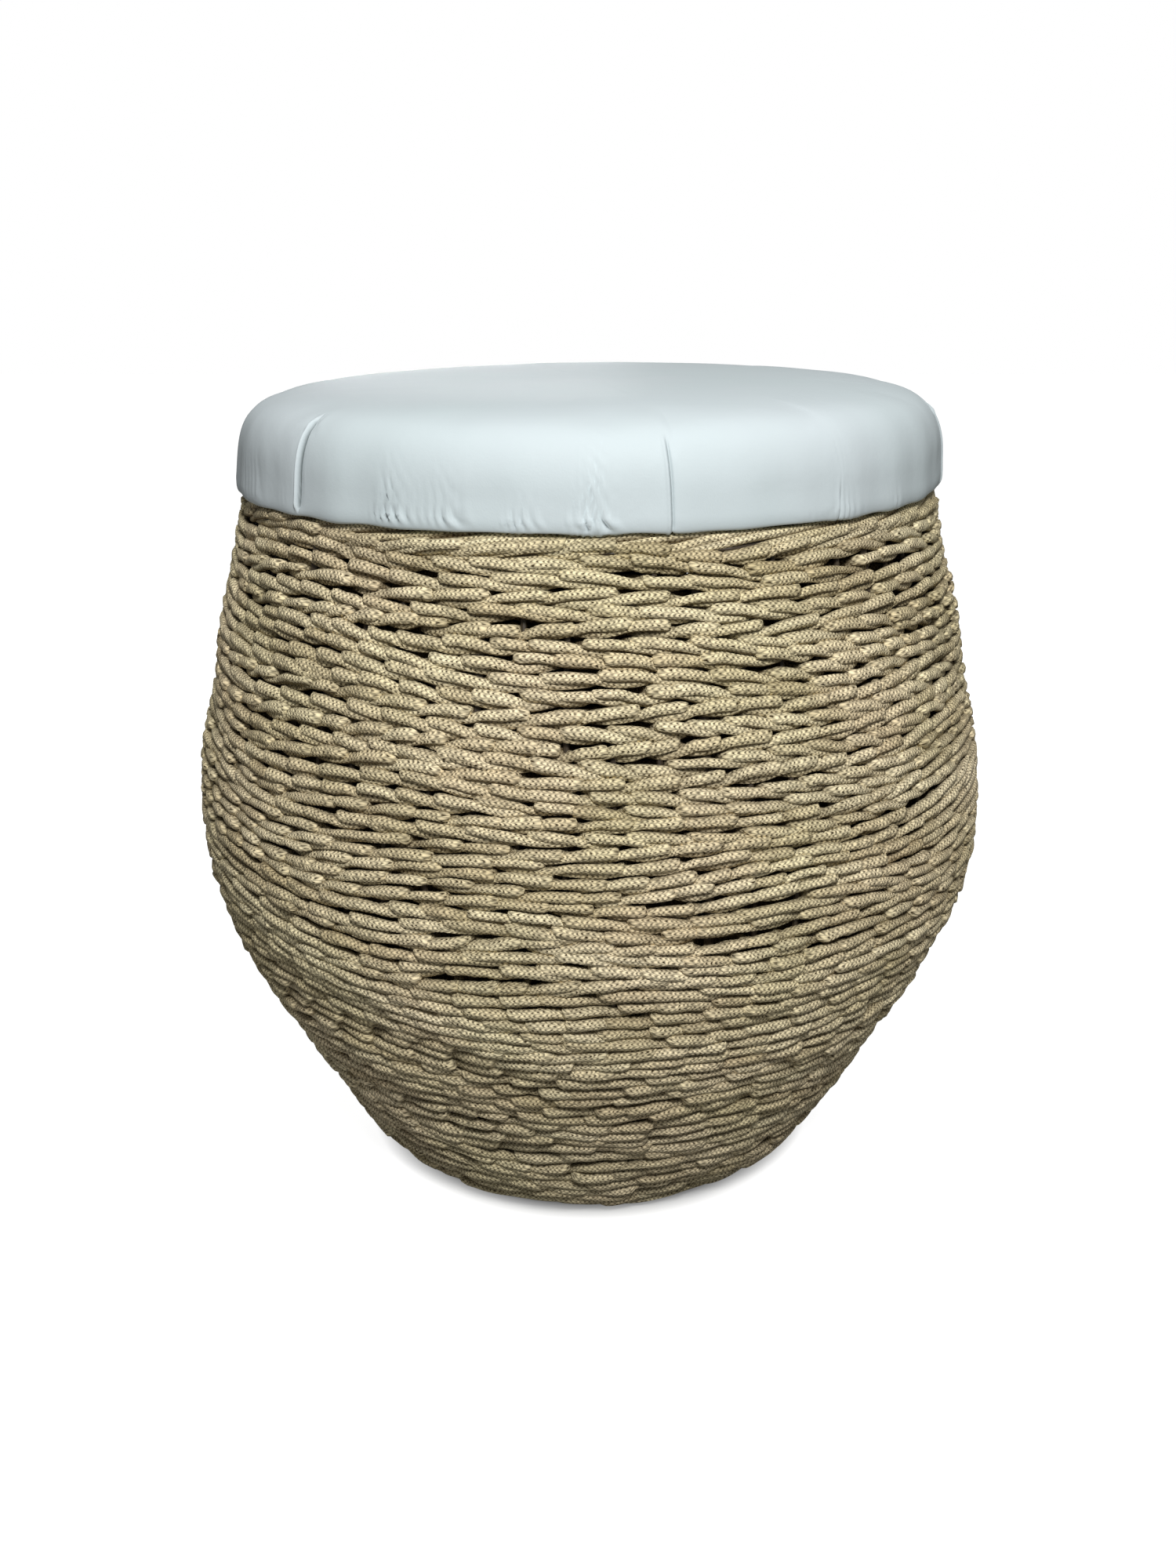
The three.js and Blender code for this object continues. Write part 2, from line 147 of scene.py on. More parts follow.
def drum_outline():
    """The wall's outer face as arc length, radius and height, from the foot up."""
    flank = [(FOOT_RADIUS + (BELLY_RADIUS - FOOT_RADIUS) * out, FOOT_HEIGHT + (BELLY_HEIGHT - FOOT_HEIGHT) * up)
             for up, out in FLANK_SHARES]
    shoulder = [(BELLY_RADIUS + (RIM_RADIUS - BELLY_RADIUS) * inward,
                 BELLY_HEIGHT + (TOP_RING[1] - BELLY_HEIGHT) * up) for up, inward in SHOULDER_SHARES]
    points = np.array(flank + shoulder)
    for _ in range(OUTLINE_HALVINGS):
        points = halved(points, 2 * points[:1] - points[1:2], 2 * points[-1:] - points[-2:-1])
    arcs = np.concatenate([[0], np.cumsum(np.hypot(*np.diff(points, axis=0).T))])
    return arcs, points


OUTLINE_ARCS, OUTLINE_POINTS = drum_outline()
WALL_LENGTH = OUTLINE_ARCS[-1]


def outline_at(arcs):
    """Radius and height of the outline at lengths up it."""
    return np.stack([np.interp(arcs, OUTLINE_ARCS, OUTLINE_POINTS[:, i]) for i in (0, 1)], axis=-1)


def wall_climb(arcs):
    """The direction up the wall, as radius and height."""
    return unit(outline_at(arcs + SLOPE_STEP) - outline_at(arcs - SLOPE_STEP))


def round_drum(angles, radii, heights):
    """Points from angles round the drum, radii and heights."""
    return np.stack([radii * np.cos(angles), radii * np.sin(angles), heights], axis=-1)


def in_wall(angles, arcs, depths):
    """Points inside the wall, which is carried on straight past both ends, and the direction up the wall there."""
    inside = np.clip(arcs, SLOPE_STEP, WALL_LENGTH - SLOPE_STEP)
    climb = wall_climb(inside)
    face = outline_at(inside) + climb * (arcs - inside)[..., None]
    radii = face[..., 0] - climb[..., 1] * depths
    heights = face[..., 1] + climb[..., 0] * depths
    return round_drum(angles, radii, heights), round_drum(angles, climb[..., 0], climb[..., 1])


# Materials. The size of each pattern is in mm, and its scale is one over that size
def linear(hex_colour):
    """An sRGB hex colour as linear red, green, blue and alpha."""
    channels = [int(hex_colour[i:i + 2], 16) / 255 for i in (1, 3, 5)]
    return (*[c / 12.92 if c <= 0.04045 else ((c + 0.055) / 1.055) ** 2.4 for c in channels], 1)


def add_node(tree, kind, inputs=(), stops=(), **settings):
    """Adds a node with its settings and links. The kind may name its operation. The inputs are by name or in the
    sockets' order, each a value, an output, or a node that gives its first output. Stops are those of a ramp. A
    MapRange takes a value, the two ends that it comes from and the two that it goes to."""
    kind, _, operation = kind.partition(" ")
    made = tree.nodes.new("ShaderNode" + kind)
    if operation:
        made.operation = operation
    for setting, value in settings.items():
        setattr(made, setting, value)
    for socket, value in inputs.items() if isinstance(inputs, dict) else enumerate(inputs):
        if isinstance(value, bpy.types.Node):
            value = value.outputs[0]
        if isinstance(value, bpy.types.NodeSocket):
            tree.links.new(value, made.inputs[socket])
        else:
            made.inputs[socket].default_value = value
    for number, (place, hex_colour) in enumerate(stops):
        made.color_ramp.elements[number].position = place
        made.color_ramp.elements[number].color = linear(hex_colour)
    return made


def new_material(name):
    """A new material with an empty tree, and what adds a node to it."""
    material = bpy.data.materials.new(name)
    material.use_nodes = True
    material.node_tree.nodes.clear()
    return material, partial(add_node, material.node_tree)


def made_material(name, surface):
    """A new material. The surface adds its nodes, by Object coordinates, and gives the inputs of the shader."""
    material, node = new_material(name)
    shader = node("BsdfPrincipled", surface(node, node("TexCoord").outputs["Object"]))
    node("OutputMaterial", [shader])
    return material


def knitted_rope(node, where):
    """Solution-dyed polyester tube rope, plain knitted: staggered V-shaped stitches with a small hole in each."""
    stitch_length, stitch_width = 2.6, 1.45
    hole_reach = (0.62, 0.4)
    dent_length, dent_width = 6.25, 2.5
    stretch_size = 10 / 3
    patch_size = 71.43
    low_shade_up_to = 150
    place = node("UVMap", uv_map="rope_mm")
    # Dents and twists of the soft tube, which pull the stitches askew
    dents = node("Mapping", {"Vector": place, "Scale": (1 / dent_length, 1 / dent_width, 1.0)})
    dents = node("TexNoise", {"Vector": dents, "Scale": 1.0, "Detail": 2.0, "Roughness": 0.5},
                 noise_dimensions="2D")
    dented = node("Bump", {"Height": dents, "Strength": 0.7, "Distance": 2.2 * MM})
    askew = node("VectorMath MULTIPLY_ADD", [dents.outputs["Color"], (3.2, 1.6, 0.0), place])
    askew = node("SeparateXYZ", [askew]).outputs
    across = node("Math DIVIDE", [askew["Y"], stitch_width])
    column = node("Math FLOOR", [across])
    side = node("Math SUBTRACT", [across, column])
    side = node("Math SUBTRACT", [side, 0.5])
    fold = node("Math ABSOLUTE", [side])
    # Each column of stitches starts half a stitch after the last, and the legs of a V lag behind its tip
    stagger = node("Math MULTIPLY", [column, 0.5])
    along = node("Math MULTIPLY_ADD", [askew["X"], 1 / stitch_length, stagger])
    along = node("Math MULTIPLY_ADD", [fold, 0.55, along])
    wave = node("Math MULTIPLY", [along, TURN])
    wave = node("Math COSINE", [wave])
    crest = node("Math MULTIPLY_ADD", [wave, 0.5, 0.5])
    ridge = node("MapRange", [fold, 0.22, 0.5, 1.0, 0.35], interpolation_type="SMOOTHSTEP")
    yarn = node("Math MULTIPLY", [crest, ridge])
    # The hole in the V, wider open in some stitches than in others
    step = node("Math FRACT", [along])
    step = node("Math SUBTRACT", [step, 0.5])
    hole = node("CombineXYZ", {"X": step, "Y": side})
    hole = node("VectorMath MULTIPLY", [hole, (stitch_length / hole_reach[0], stitch_width / hole_reach[1], 0)])
    hole = node("VectorMath LENGTH", [hole]).outputs["Value"]
    hole = node("MapRange", [hole, 0.35, 1.15, 1.0, 0.0], interpolation_type="SMOOTHSTEP")
    stretch = node("VectorMath SCALE", {0: place, "Scale": 1 / stretch_size})
    stretch = node("TexNoise", {"Vector": stretch, "Scale": 1.0, "Detail": 1.0}, noise_dimensions="2D")
    stretch = node("MapRange", [stretch, 0.38, 0.64, 0.35, 1.0])
    painted_hole_shade = node("Math MULTIPLY", [hole, stretch])
    height = node("Math MULTIPLY_ADD", [hole, -1.2, yarn])
    bump = node("Bump", {"Height": height, "Strength": 0.6, "Distance": 0.3 * MM, "Normal": dented})
    # Each strand has its own shade, and patches of olive and pinkish beige lie round the drum
    patches = node("TexNoise", {"Vector": where, "Scale": 1 / (patch_size * MM), "Detail": 3.0})
    patches = node("ValToRGB", {"Fac": patches}, ((0.38, "#D9CDA3"), (0.62, "#E3D0AE")))
    strands = node("Attribute", attribute_name="strand_shade").outputs["Fac"]
    strands = node("ValToRGB", {"Fac": strands}, ((0, "#AE9B72"), (1, "#FFF3CE")))
    colour = node("Mix", {"Factor": 0.5, 6: patches, 7: strands}, data_type="RGBA").outputs[2]
    # Painted highlight and shade of the knit's relief: the stitches' crests are painted lighter, their valleys
    # darker, and the dents darker still
    painted_stitch_light = node("MapRange", [yarn, 0.0, 1.0, 0.62, 1.4])
    dent_shade = node("MapRange", [dents, 0.35, 0.62, 0.82, 1.06])
    painted_stitch_light = node("Math MULTIPLY", [painted_stitch_light, dent_shade])
    colour = node("VectorMath SCALE", {0: colour, "Scale": painted_stitch_light})
    # Painted shade: the open holes are painted dark brown, for the shade inside the tube
    colour = node("Mix", {"Factor": painted_hole_shade, 6: colour, 7: linear("#3A2B12")}, data_type="RGBA").outputs[2]
    # The lower part of the drum is painted a little darker towards the floor, as painted shade
    low_shade = node("SeparateXYZ", [where]).outputs["Z"]
    low_shade = node("MapRange", [low_shade, 0.0, low_shade_up_to * MM, 0.8, 1.0])
    colour = node("VectorMath SCALE", {0: colour, "Scale": low_shade})
    # Painted shade: the rope is painted dark brown in the recesses between the rows, where shade falls
    painted_shade = node("Attribute", attribute_name="painted_recess_shade").outputs["Fac"]
    painted_shade = node("Math MULTIPLY", [painted_shade, 0.88])
    colour = node("Mix", {"Factor": painted_shade, 6: colour, 7: linear("#3F2D12")}, data_type="RGBA").outputs[2]
    return {"Base Color": colour, "Normal": bump, "Roughness": 0.8, "IOR": 1.5, "Specular IOR Level": 0.12}


def leatherette(node, where):
    """White polyurethane leatherette: a soft satin skin, with painted shade that greys it in the creases, and a
    pebble grain that is drawn coarser than the real one, so that it shows."""
    grain_size, fold_size, tint_size = 0.9, 22.22, 111.1
    grain = node("TexVoronoi", {"Vector": where, "Scale": 1 / (grain_size * MM), "Smoothness": 0.6},
                 feature="SMOOTH_F1")
    folds = node("TexNoise", {"Vector": where, "Scale": 1 / (fold_size * MM), "Detail": 4.0, "Roughness": 0.55})
    skin = node("Bump", {"Height": grain, "Strength": 0.22, "Distance": 0.12 * MM})
    skin = node("Bump", {"Height": folds, "Strength": 0.35, "Distance": 0.9 * MM, "Normal": skin})
    tint = node("TexNoise", {"Vector": where, "Scale": 1 / (tint_size * MM), "Detail": 2.0})
    tint = node("ValToRGB", {"Fac": tint}, ((0.35, "#C5D0D2"), (0.65, "#C7D0D3")))
    # Painted shade: the creases are painted dark grey
    crease_shade = node("Attribute", attribute_name="painted_crease_shade").outputs["Fac"]
    crease_shade = node("Math MULTIPLY", [crease_shade, 0.72])
    colour = node("Mix", {"Factor": crease_shade, 6: tint, 7: linear("#4A5352")}, data_type="RGBA").outputs[2]
    gloss = node("MapRange", [folds, 0.0, 1.0, 0.54, 0.66])
    return {"Base Color": colour, "Normal": skin, "Roughness": gloss, "IOR": 1.48, "Specular IOR Level": 0.22}


def foam(node, where):
    """Cut polyurethane foam: pale yellow and matt, with small open cells."""
    cell_size = 0.6
    cells = node("TexVoronoi", {"Vector": where, "Scale": 1 / (cell_size * MM)})
    colour = node("ValToRGB", {"Fac": cells}, ((0, "#B59A55"), (1, "#EAD9A2")))
    bump = node("Bump", {"Height": cells, "Strength": 0.6, "Distance": 0.3 * MM})
    return {"Base Color": colour, "Normal": bump, "Roughness": 0.95, "IOR": 1.45, "Specular IOR Level": 0.2}


def plywood(node, where):
    """Birch plywood: long pale grain on the faces, and darker glue lines between the plies at the edge."""
    ply_thickness = 1.4
    grain_length, grain_width = 55.56, 4.167
    grain_scale = (1 / (grain_length * MM), 1 / (grain_width * MM), 1 / (grain_width * MM))
    grain = node("Mapping", {"Vector": where, "Scale": grain_scale})
    grain = node("TexNoise", {"Vector": grain, "Scale": 1.0, "Detail": 6.0, "Distortion": 0.6})
    face = node("ValToRGB", {"Fac": grain}, ((0.3, "#B98F5C"), (0.7, "#DDBE8C")))
    layer = node("SeparateXYZ", [where]).outputs["Z"]
    layer = node("Math MULTIPLY", [layer, TURN / (2 * ply_thickness * MM)])
    layer = node("Math SINE", [layer])
    layer = node("MapRange", [layer, -0.3, 0.3, 0.62, 1.0])
    upward = node("NewGeometry").outputs["Normal"]
    upward = node("SeparateXYZ", [upward]).outputs["Z"]
    upward = node("Math ABSOLUTE", [upward])
    on_face = node("MapRange", [upward, 0.5, 0.8])
    banded = node("Mix", {"Factor": on_face, 2: layer, 3: 1.0})
    colour = node("VectorMath SCALE", {0: face, "Scale": banded})
    bump = node("Bump", {"Height": grain, "Strength": 0.3, "Distance": 0.2 * MM})
    return {"Base Color": colour, "Normal": bump, "Roughness": 0.7, "IOR": 1.5, "Specular IOR Level": 0.35}


def dust_cloth(node, where):
    """Spunbonded polypropylene: black fleece with faint fibres and a grid of small bond points."""
    fibre_size, bond_spacing = 1.111, 1.8
    fibres = node("TexNoise", {"Vector": where, "Scale": 1 / (fibre_size * MM), "Detail": 4.0, "Distortion": 2.5})
    bonds = node("TexVoronoi", {"Vector": where, "Scale": 1 / (bond_spacing * MM), "Randomness": 0.15},
                 voronoi_dimensions="2D")
    bonds = node("MapRange", [bonds, 0.14, 0.26])
    colour = node("ValToRGB", {"Fac": fibres}, ((0.35, "#17181A"), (0.7, "#3A3C3F")))
    height = node("Math MULTIPLY", [fibres, bonds])
    bump = node("Bump", {"Height": height, "Strength": 0.5, "Distance": 0.15 * MM})
    return {"Base Color": colour, "Normal": bump, "Roughness": 0.85, "IOR": 1.49, "Specular IOR Level": 0.25}


def plain_finish(finish, node, where):
    """A plain finish: one noise mottles its colour and gloss, another gives its relief."""
    mottle, stops, gloss, relief, bump, constants = finish
    patches, skin = (node("TexNoise", {"Vector": where, "Scale": 1 / (size * MM), "Detail": detail})
                     for size, detail in (mottle, relief))
    skin = node("Bump", {"Height": skin, "Strength": bump[0], "Distance": bump[1] * MM})
    shader_inputs = {"Base Color": node("ValToRGB", {"Fac": patches}, stops), "Normal": skin, **constants}
    if gloss:
        shader_inputs["Roughness"] = node("MapRange", [patches, 0.0, 1.0, gloss[0], gloss[1]])
    return shader_inputs


# Slots with a plain finish: its name, the mottle's size in mm and detail, its colours, the least and greatest
# roughness, the relief's size and detail, the bump's strength and height in mm, and what is constant
PLAIN_FINISHES = {
    # Powder-coated steel rod: dark umber and satin, with a fine orange-peel surface
    "coated_steel": ("umber_powder_coated_steel", (40, 5.0), ((0.35, "#2E261D"), (0.7, "#433829")),
                     (0.38, 0.58), (1.818, 2.0), (0.3, 0.15), {"IOR": 1.5}),
    # Moulded nylon: near black, low sheen, with the stipple of a spark-eroded mould
    "nylon": ("black_moulded_nylon", (11.11, 5.0), ((0.4, "#1B1B1C"), (0.75, "#343435")),
              (0.4, 0.62), (0.625, 2.0), (0.35, 0.08), {"IOR": 1.53}),
    # Moulded rubber blocks: charcoal and matt, with a dusty bloom in patches
    "rubber": ("charcoal_moulded_rubber", (7.692, 6.0), ((0.4, "#202021"), (0.7, "#3C3B39")),
               None, (0.9091, 3.0), (0.3, 0.1), {"Roughness": 0.88, "IOR": 1.52, "Specular IOR Level": 0.3}),
    # Zinc-plated steel: bluish silver, mottled where the plating varies
    "zinc_steel": ("zinc_plated_steel", (3.125, 5.0), ((0.35, "#A9ADB3"), (0.7, "#CFD2D4")),
                   (0.28, 0.48), (3.125, 5.0), (0.15, 0.05), {"Metallic": 1.0}),
}
MATERIALS = {
    "knitted_rope": made_material("khaki_knitted_polyester_rope", knitted_rope),
    "leatherette": made_material("white_pu_leatherette", leatherette),
    "foam": made_material("cut_upholstery_foam", foam),
    "plywood": made_material("birch_plywood", plywood),
    "dust_cloth": made_material("black_spunbond_dust_cloth", dust_cloth),
    **{slot: made_material(name, partial(plain_finish, finish))
       for slot, (name, *finish) in PLAIN_FINISHES.items()},
}


def finish_piece(piece, body, slot_name, *replaced):
    """Gives a piece the material of its slot and its body, and hides the CAD nodes that it stands for."""
    piece.data.materials.clear()
    piece.data.materials.append(MATERIALS[slot_name])
    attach(piece, body)
    if replaced:
        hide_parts(*replaced)


def select_only(*pieces):
    """Selects these pieces and no others, with the first one active."""
    bpy.ops.object.select_all(action="DESELECT")
    for piece in pieces:
        piece.select_set(True)
    if pieces:
        bpy.context.view_layer.objects.active = pieces[0]


# Soft tubes of rope, swept along their paths in code, because no modelling operator weaves
ROPE_SECTION_POINTS = 8
# The tubes are pressed flat: a power under 1 makes an oval section squarer
SECTION_POWER = 0.62
# Painted shade along a rope's lower and upper edges, where it lies against its neighbours: more on the lower edge,
# as the light comes from above
LOWER_EDGE_SHADE = 1.0
UPPER_EDGE_SHADE = 0.5
SECTION_TURNS = np.arange(ROPE_SECTION_POINTS) * TURN / ROPE_SECTION_POINTS
SECTION_REACH = np.stack([np.cos(SECTION_TURNS), np.sin(SECTION_TURNS)]).round(6)
SECTION_WIDE, SECTION_THICK = np.sign(SECTION_REACH) * np.abs(SECTION_REACH) ** SECTION_POWER
EDGE_SHADE = (np.where(np.cos(SECTION_TURNS) < 0, LOWER_EDGE_SHADE, UPPER_EDGE_SHADE)
             * np.abs(np.cos(SECTION_TURNS)) ** 3)
# The corners of a quad, as steps on along the strand and round it
QUAD_CORNERS = ((0, 0), (1, 0), (1, 1), (0, 1))


def rope_sweep(path, across, half_widths, half_thicknesses, rolls, tones):
    """One closed strand: its points, its quads, how far along and round it each corner is, and its tones."""
    count = len(path)
    ahead = unit(np.roll(path, -1, axis=0) - np.roll(path, 1, axis=0))
    level = unit(across - ahead * np.sum(ahead * across, axis=1, keepdims=True))
    upright = np.cross(ahead, level)
    wide = level * np.cos(rolls)[:, None] + upright * np.sin(rolls)[:, None]
    thick = np.cross(ahead, wide)
    points = (path[:, None]
              + wide[:, None] * (half_widths[:, None] * SECTION_WIDE)[..., None]
              + thick[:, None] * (half_thicknesses[:, None] * SECTION_THICK)[..., None])
    ring, side = np.meshgrid(np.arange(count), np.arange(ROPE_SECTION_POINTS), indexing="ij")
    quads = np.stack([(ring + on) % count * ROPE_SECTION_POINTS + (side + over) % ROPE_SECTION_POINTS
                      for on, over in QUAD_CORNERS], axis=-1)
    steps = np.linalg.norm(np.roll(path, -1, axis=0) - path, axis=1)
    along = np.concatenate([[0], np.cumsum(steps)]) / MM
    girth = TURN * np.sqrt((half_widths ** 2 + half_thicknesses ** 2) / 2).mean() / MM
    around = np.arange(ROPE_SECTION_POINTS + 1) * girth / ROPE_SECTION_POINTS
    places = np.stack([np.stack([along[ring + on], around[side + over]], axis=-1)
                       for on, over in QUAD_CORNERS], axis=2)
    # Each point takes the painted shade of its edge, or of its recess where that is darker
    shades, painted_shade = tones
    tones = np.stack(np.broadcast_arrays(shades[:, None], np.maximum(painted_shade[:, None], EDGE_SHADE)), axis=-1)
    return points.reshape(-1, 3), quads.reshape(-1, 4), places.reshape(-1, 2), tones.reshape(-1, 2)


def rope_piece(name, strands, cad_node):
    """A mesh of closed strands, riding on the drum in place of a CAD node."""
    swept = [rope_sweep(*strand) for strand in strands]
    starts = np.cumsum([0] + [len(points) for points, _, _, _ in swept[:-1]])
    points, places, tones = (np.concatenate([strand[part] for strand in swept]) for part in (0, 2, 3))
    quads = np.concatenate([quads + start for (_, quads, _, _), start in zip(swept, starts)])
    mesh = bpy.data.meshes.new(name)
    mesh.vertices.add(len(points))
    mesh.vertices.foreach_set("co", points.ravel())
    mesh.loops.add(quads.size)
    mesh.loops.foreach_set("vertex_index", quads.ravel().astype(np.int32))
    mesh.polygons.add(len(quads))
    mesh.polygons.foreach_set("loop_start", np.arange(0, quads.size, 4, dtype=np.int32))
    mesh.update(calc_edges=True)
    mesh.uv_layers.new(name="rope_mm").data.foreach_set("uv", places.ravel())
    for attribute, values in zip(("strand_shade", "painted_recess_shade"), tones.T):
        mesh.attributes.new(attribute, "FLOAT", "POINT").data.foreach_set("value", np.ascontiguousarray(values))
    mesh.shade_smooth()
    finish_piece(new_object(name, mesh), "drum", "knitted_rope", cad_node)


# The woven rows: three strands each. A strand runs outside over two spaces, then inside behind one.
# Keys of one such lay: spaces travelled, depth of its middle in mm, climb in mm, half width in mm
OPEN_LAY = np.array([
    (-0.12, 10.5, 0.2, 4.2), (0.03, 7.2, -0.6, 2.8), (0.25, 5.6, -2.0, 2.35), (0.60, 4.5, -2.8, 2.35),
    (0.93, 4.2, -2.0, 2.3), (1.12, 3.7, -0.7, 2.45), (1.34, 2.8, 0.3, 2.65), (1.60, 2.1, 0.8, 2.95),
    (1.88, 1.8, 1.0, 3.05), (1.985, 2.7, 1.0, 3.0), (2.03, 6.5, 0.8, 2.8), (2.18, 11.8, 0.0, 4.6),
    (2.50, 13.0, -0.8, 5.0),
])
SNUG_LAY = np.array([
    (-0.14, 10.5, 0.3, 4.2), (0.02, 6.8, -0.5, 2.8), (0.25, 4.9, -1.8, 2.5), (0.58, 3.9, -2.4, 2.55),
    (0.88, 3.2, -1.6, 2.65), (1.12, 2.5, -0.4, 2.75), (1.36, 2.1, 0.5, 2.9), (1.62, 1.9, 1.1, 2.9),
    (1.84, 2.2, 1.5, 2.8), (1.96, 3.8, 1.7, 2.6), (2.06, 7.5, 1.4, 2.5), (2.20, 11.8, 0.4, 4.6),
    (2.52, 13.0, -0.8, 5.0),
])
# The pitch that the lays' climbs and widths are drawn for
LAY_PITCH = 7.4
STRANDS_IN_ROW = 3
ROPE_HALF_THICKNESS = 2.6 * MM
# A rope is pressed thinner and thinner between two depths, in mm, where it folds inwards behind a stake
FLAT_OUT_DEPTH = 2.6
PRESSED_DEPTH = 6.0
PRESSED_SHARE = 0.45
# Depths between which the rope is painted darker and darker, as painted shade in the recesses
UNSHADED_DEPTH = 3.5
FULLY_SHADED_DEPTH = 8.5
# How the lays scatter: in depth, climb, half width and roll, each first from lay to lay and then from key to key
DEPTH_SPREAD = (0.4, 0.15)
CLIMB_SPREAD = (0.5, 0.2)
WIDTH_SPREAD = (0.08, 0.04)
ROLL_SPREAD = (0.22, 0.06)
# How far they slip round the drum, in spaces, and how much their snugness and shade scatter and sway
SLIP_SPREAD = 0.12
SNUG_SPREAD, SNUG_SWAY = 0.15, 0.4
SHADE_MIDDLE, SHADE_SPREAD, SHADE_SWAY = 0.5, 0.14, 0.12
# How the rows wander: round the drum in spaces, and with their neighbours and alone up the wall, in mm
SPACE_DRIFT = 0.3
ROW_WANDER, ROW_RISE = 1.7, 0.5
# How far in the lays lie, how much that wanders and the least that it may be, in mm
LAY_INSET, DEPTH_WANDER, LEAST_DEPTH = 0.6, 0.7, 1.6
# A rope is a little thicker and thinner by turns
SWELL, SWELL_RATE = 0.1, 5
# Rows from the foot up: share of the wall's length where a band of rows ends, how open its rows are, its direction
BANDS = [
    (0.14, 0.4, -1), (0.24, 0.9, 1), (0.33, 0.6, -1), (0.40, 0.9, 1), (0.56, 0.5, -1), (0.70, 1.0, 1),
    (0.735, 0.5, -1), (0.835, 1.0, 1), (0.885, 0.5, -1), (0.95, 0.9, 1), (1.0, 0.6, -1),
]
ODD_ROW_SHARE = 0.22
# How far the ropes reach past the wall's foot and rim ends, where the first row lies, and how far short of the rim
# end the last one may lie
PAST_FOOT = 2 * MM
PAST_RIM = 7.8 * MM
FIRST_ROW = 1.5 * MM
RIM_ROOM = 3 * MM
# How far the wall's last few millimetres lie back from its outline, under the pad's edge
RIM_TUCK = 1.5 * MM
TOP_ROW = 12 * MM
# Pitch of the rows in mm at shares of the wall's length
PITCH_SHARES = [0.15, 0.32, 0.44, 0.56, 0.65, 0.79, 0.95]
PITCHES = [8.9, 7.9, 7.5, 7.0, 6.5, 8.0, 7.1]
# Spaces round the drum, in threes, up to a share of the wall's length
SPACES = [(0.08, 11), (0.15, 12), (0.22, 14), (0.29, 16), (0.36, 18), (0.9, 20), (1.0, 18)]
# A row may have up to two threes fewer than that, or one more
THREES_SPREAD = (-2, 2)

rows_random = np.random.default_rng(7)


def slow_waves(count, turns, rates):
    """Waves round the drum and up it, with seeded turns, rates and starts."""
    return [(rows_random.integers(*turns), rows_random.uniform(*rates), rows_random.uniform(0, TURN))
            for _ in range(count)]


def sway(angles, arc, waves):
    """A slow wander round the drum, from about -1 to 1."""
    heights = sum(np.sin(turns * angles + arc * rate + start) for turns, rate, start in waves)
    return heights / math.sqrt(len(waves) / 2)


ROW_WAVES = slow_waves(9, (2, 10), (10, 90))
DEPTH_WAVES = slow_waves(7, (3, 12), (20, 120))
OPEN_WAVES = slow_waves(7, (2, 9), (30, 160))


def scattered(spread, shape):
    """Random offsets of keys: one that all keys of a lay share, and one for each key."""
    return rows_random.normal(0, spread[0], (shape[0], 1)) + rows_random.normal(0, spread[1], shape)


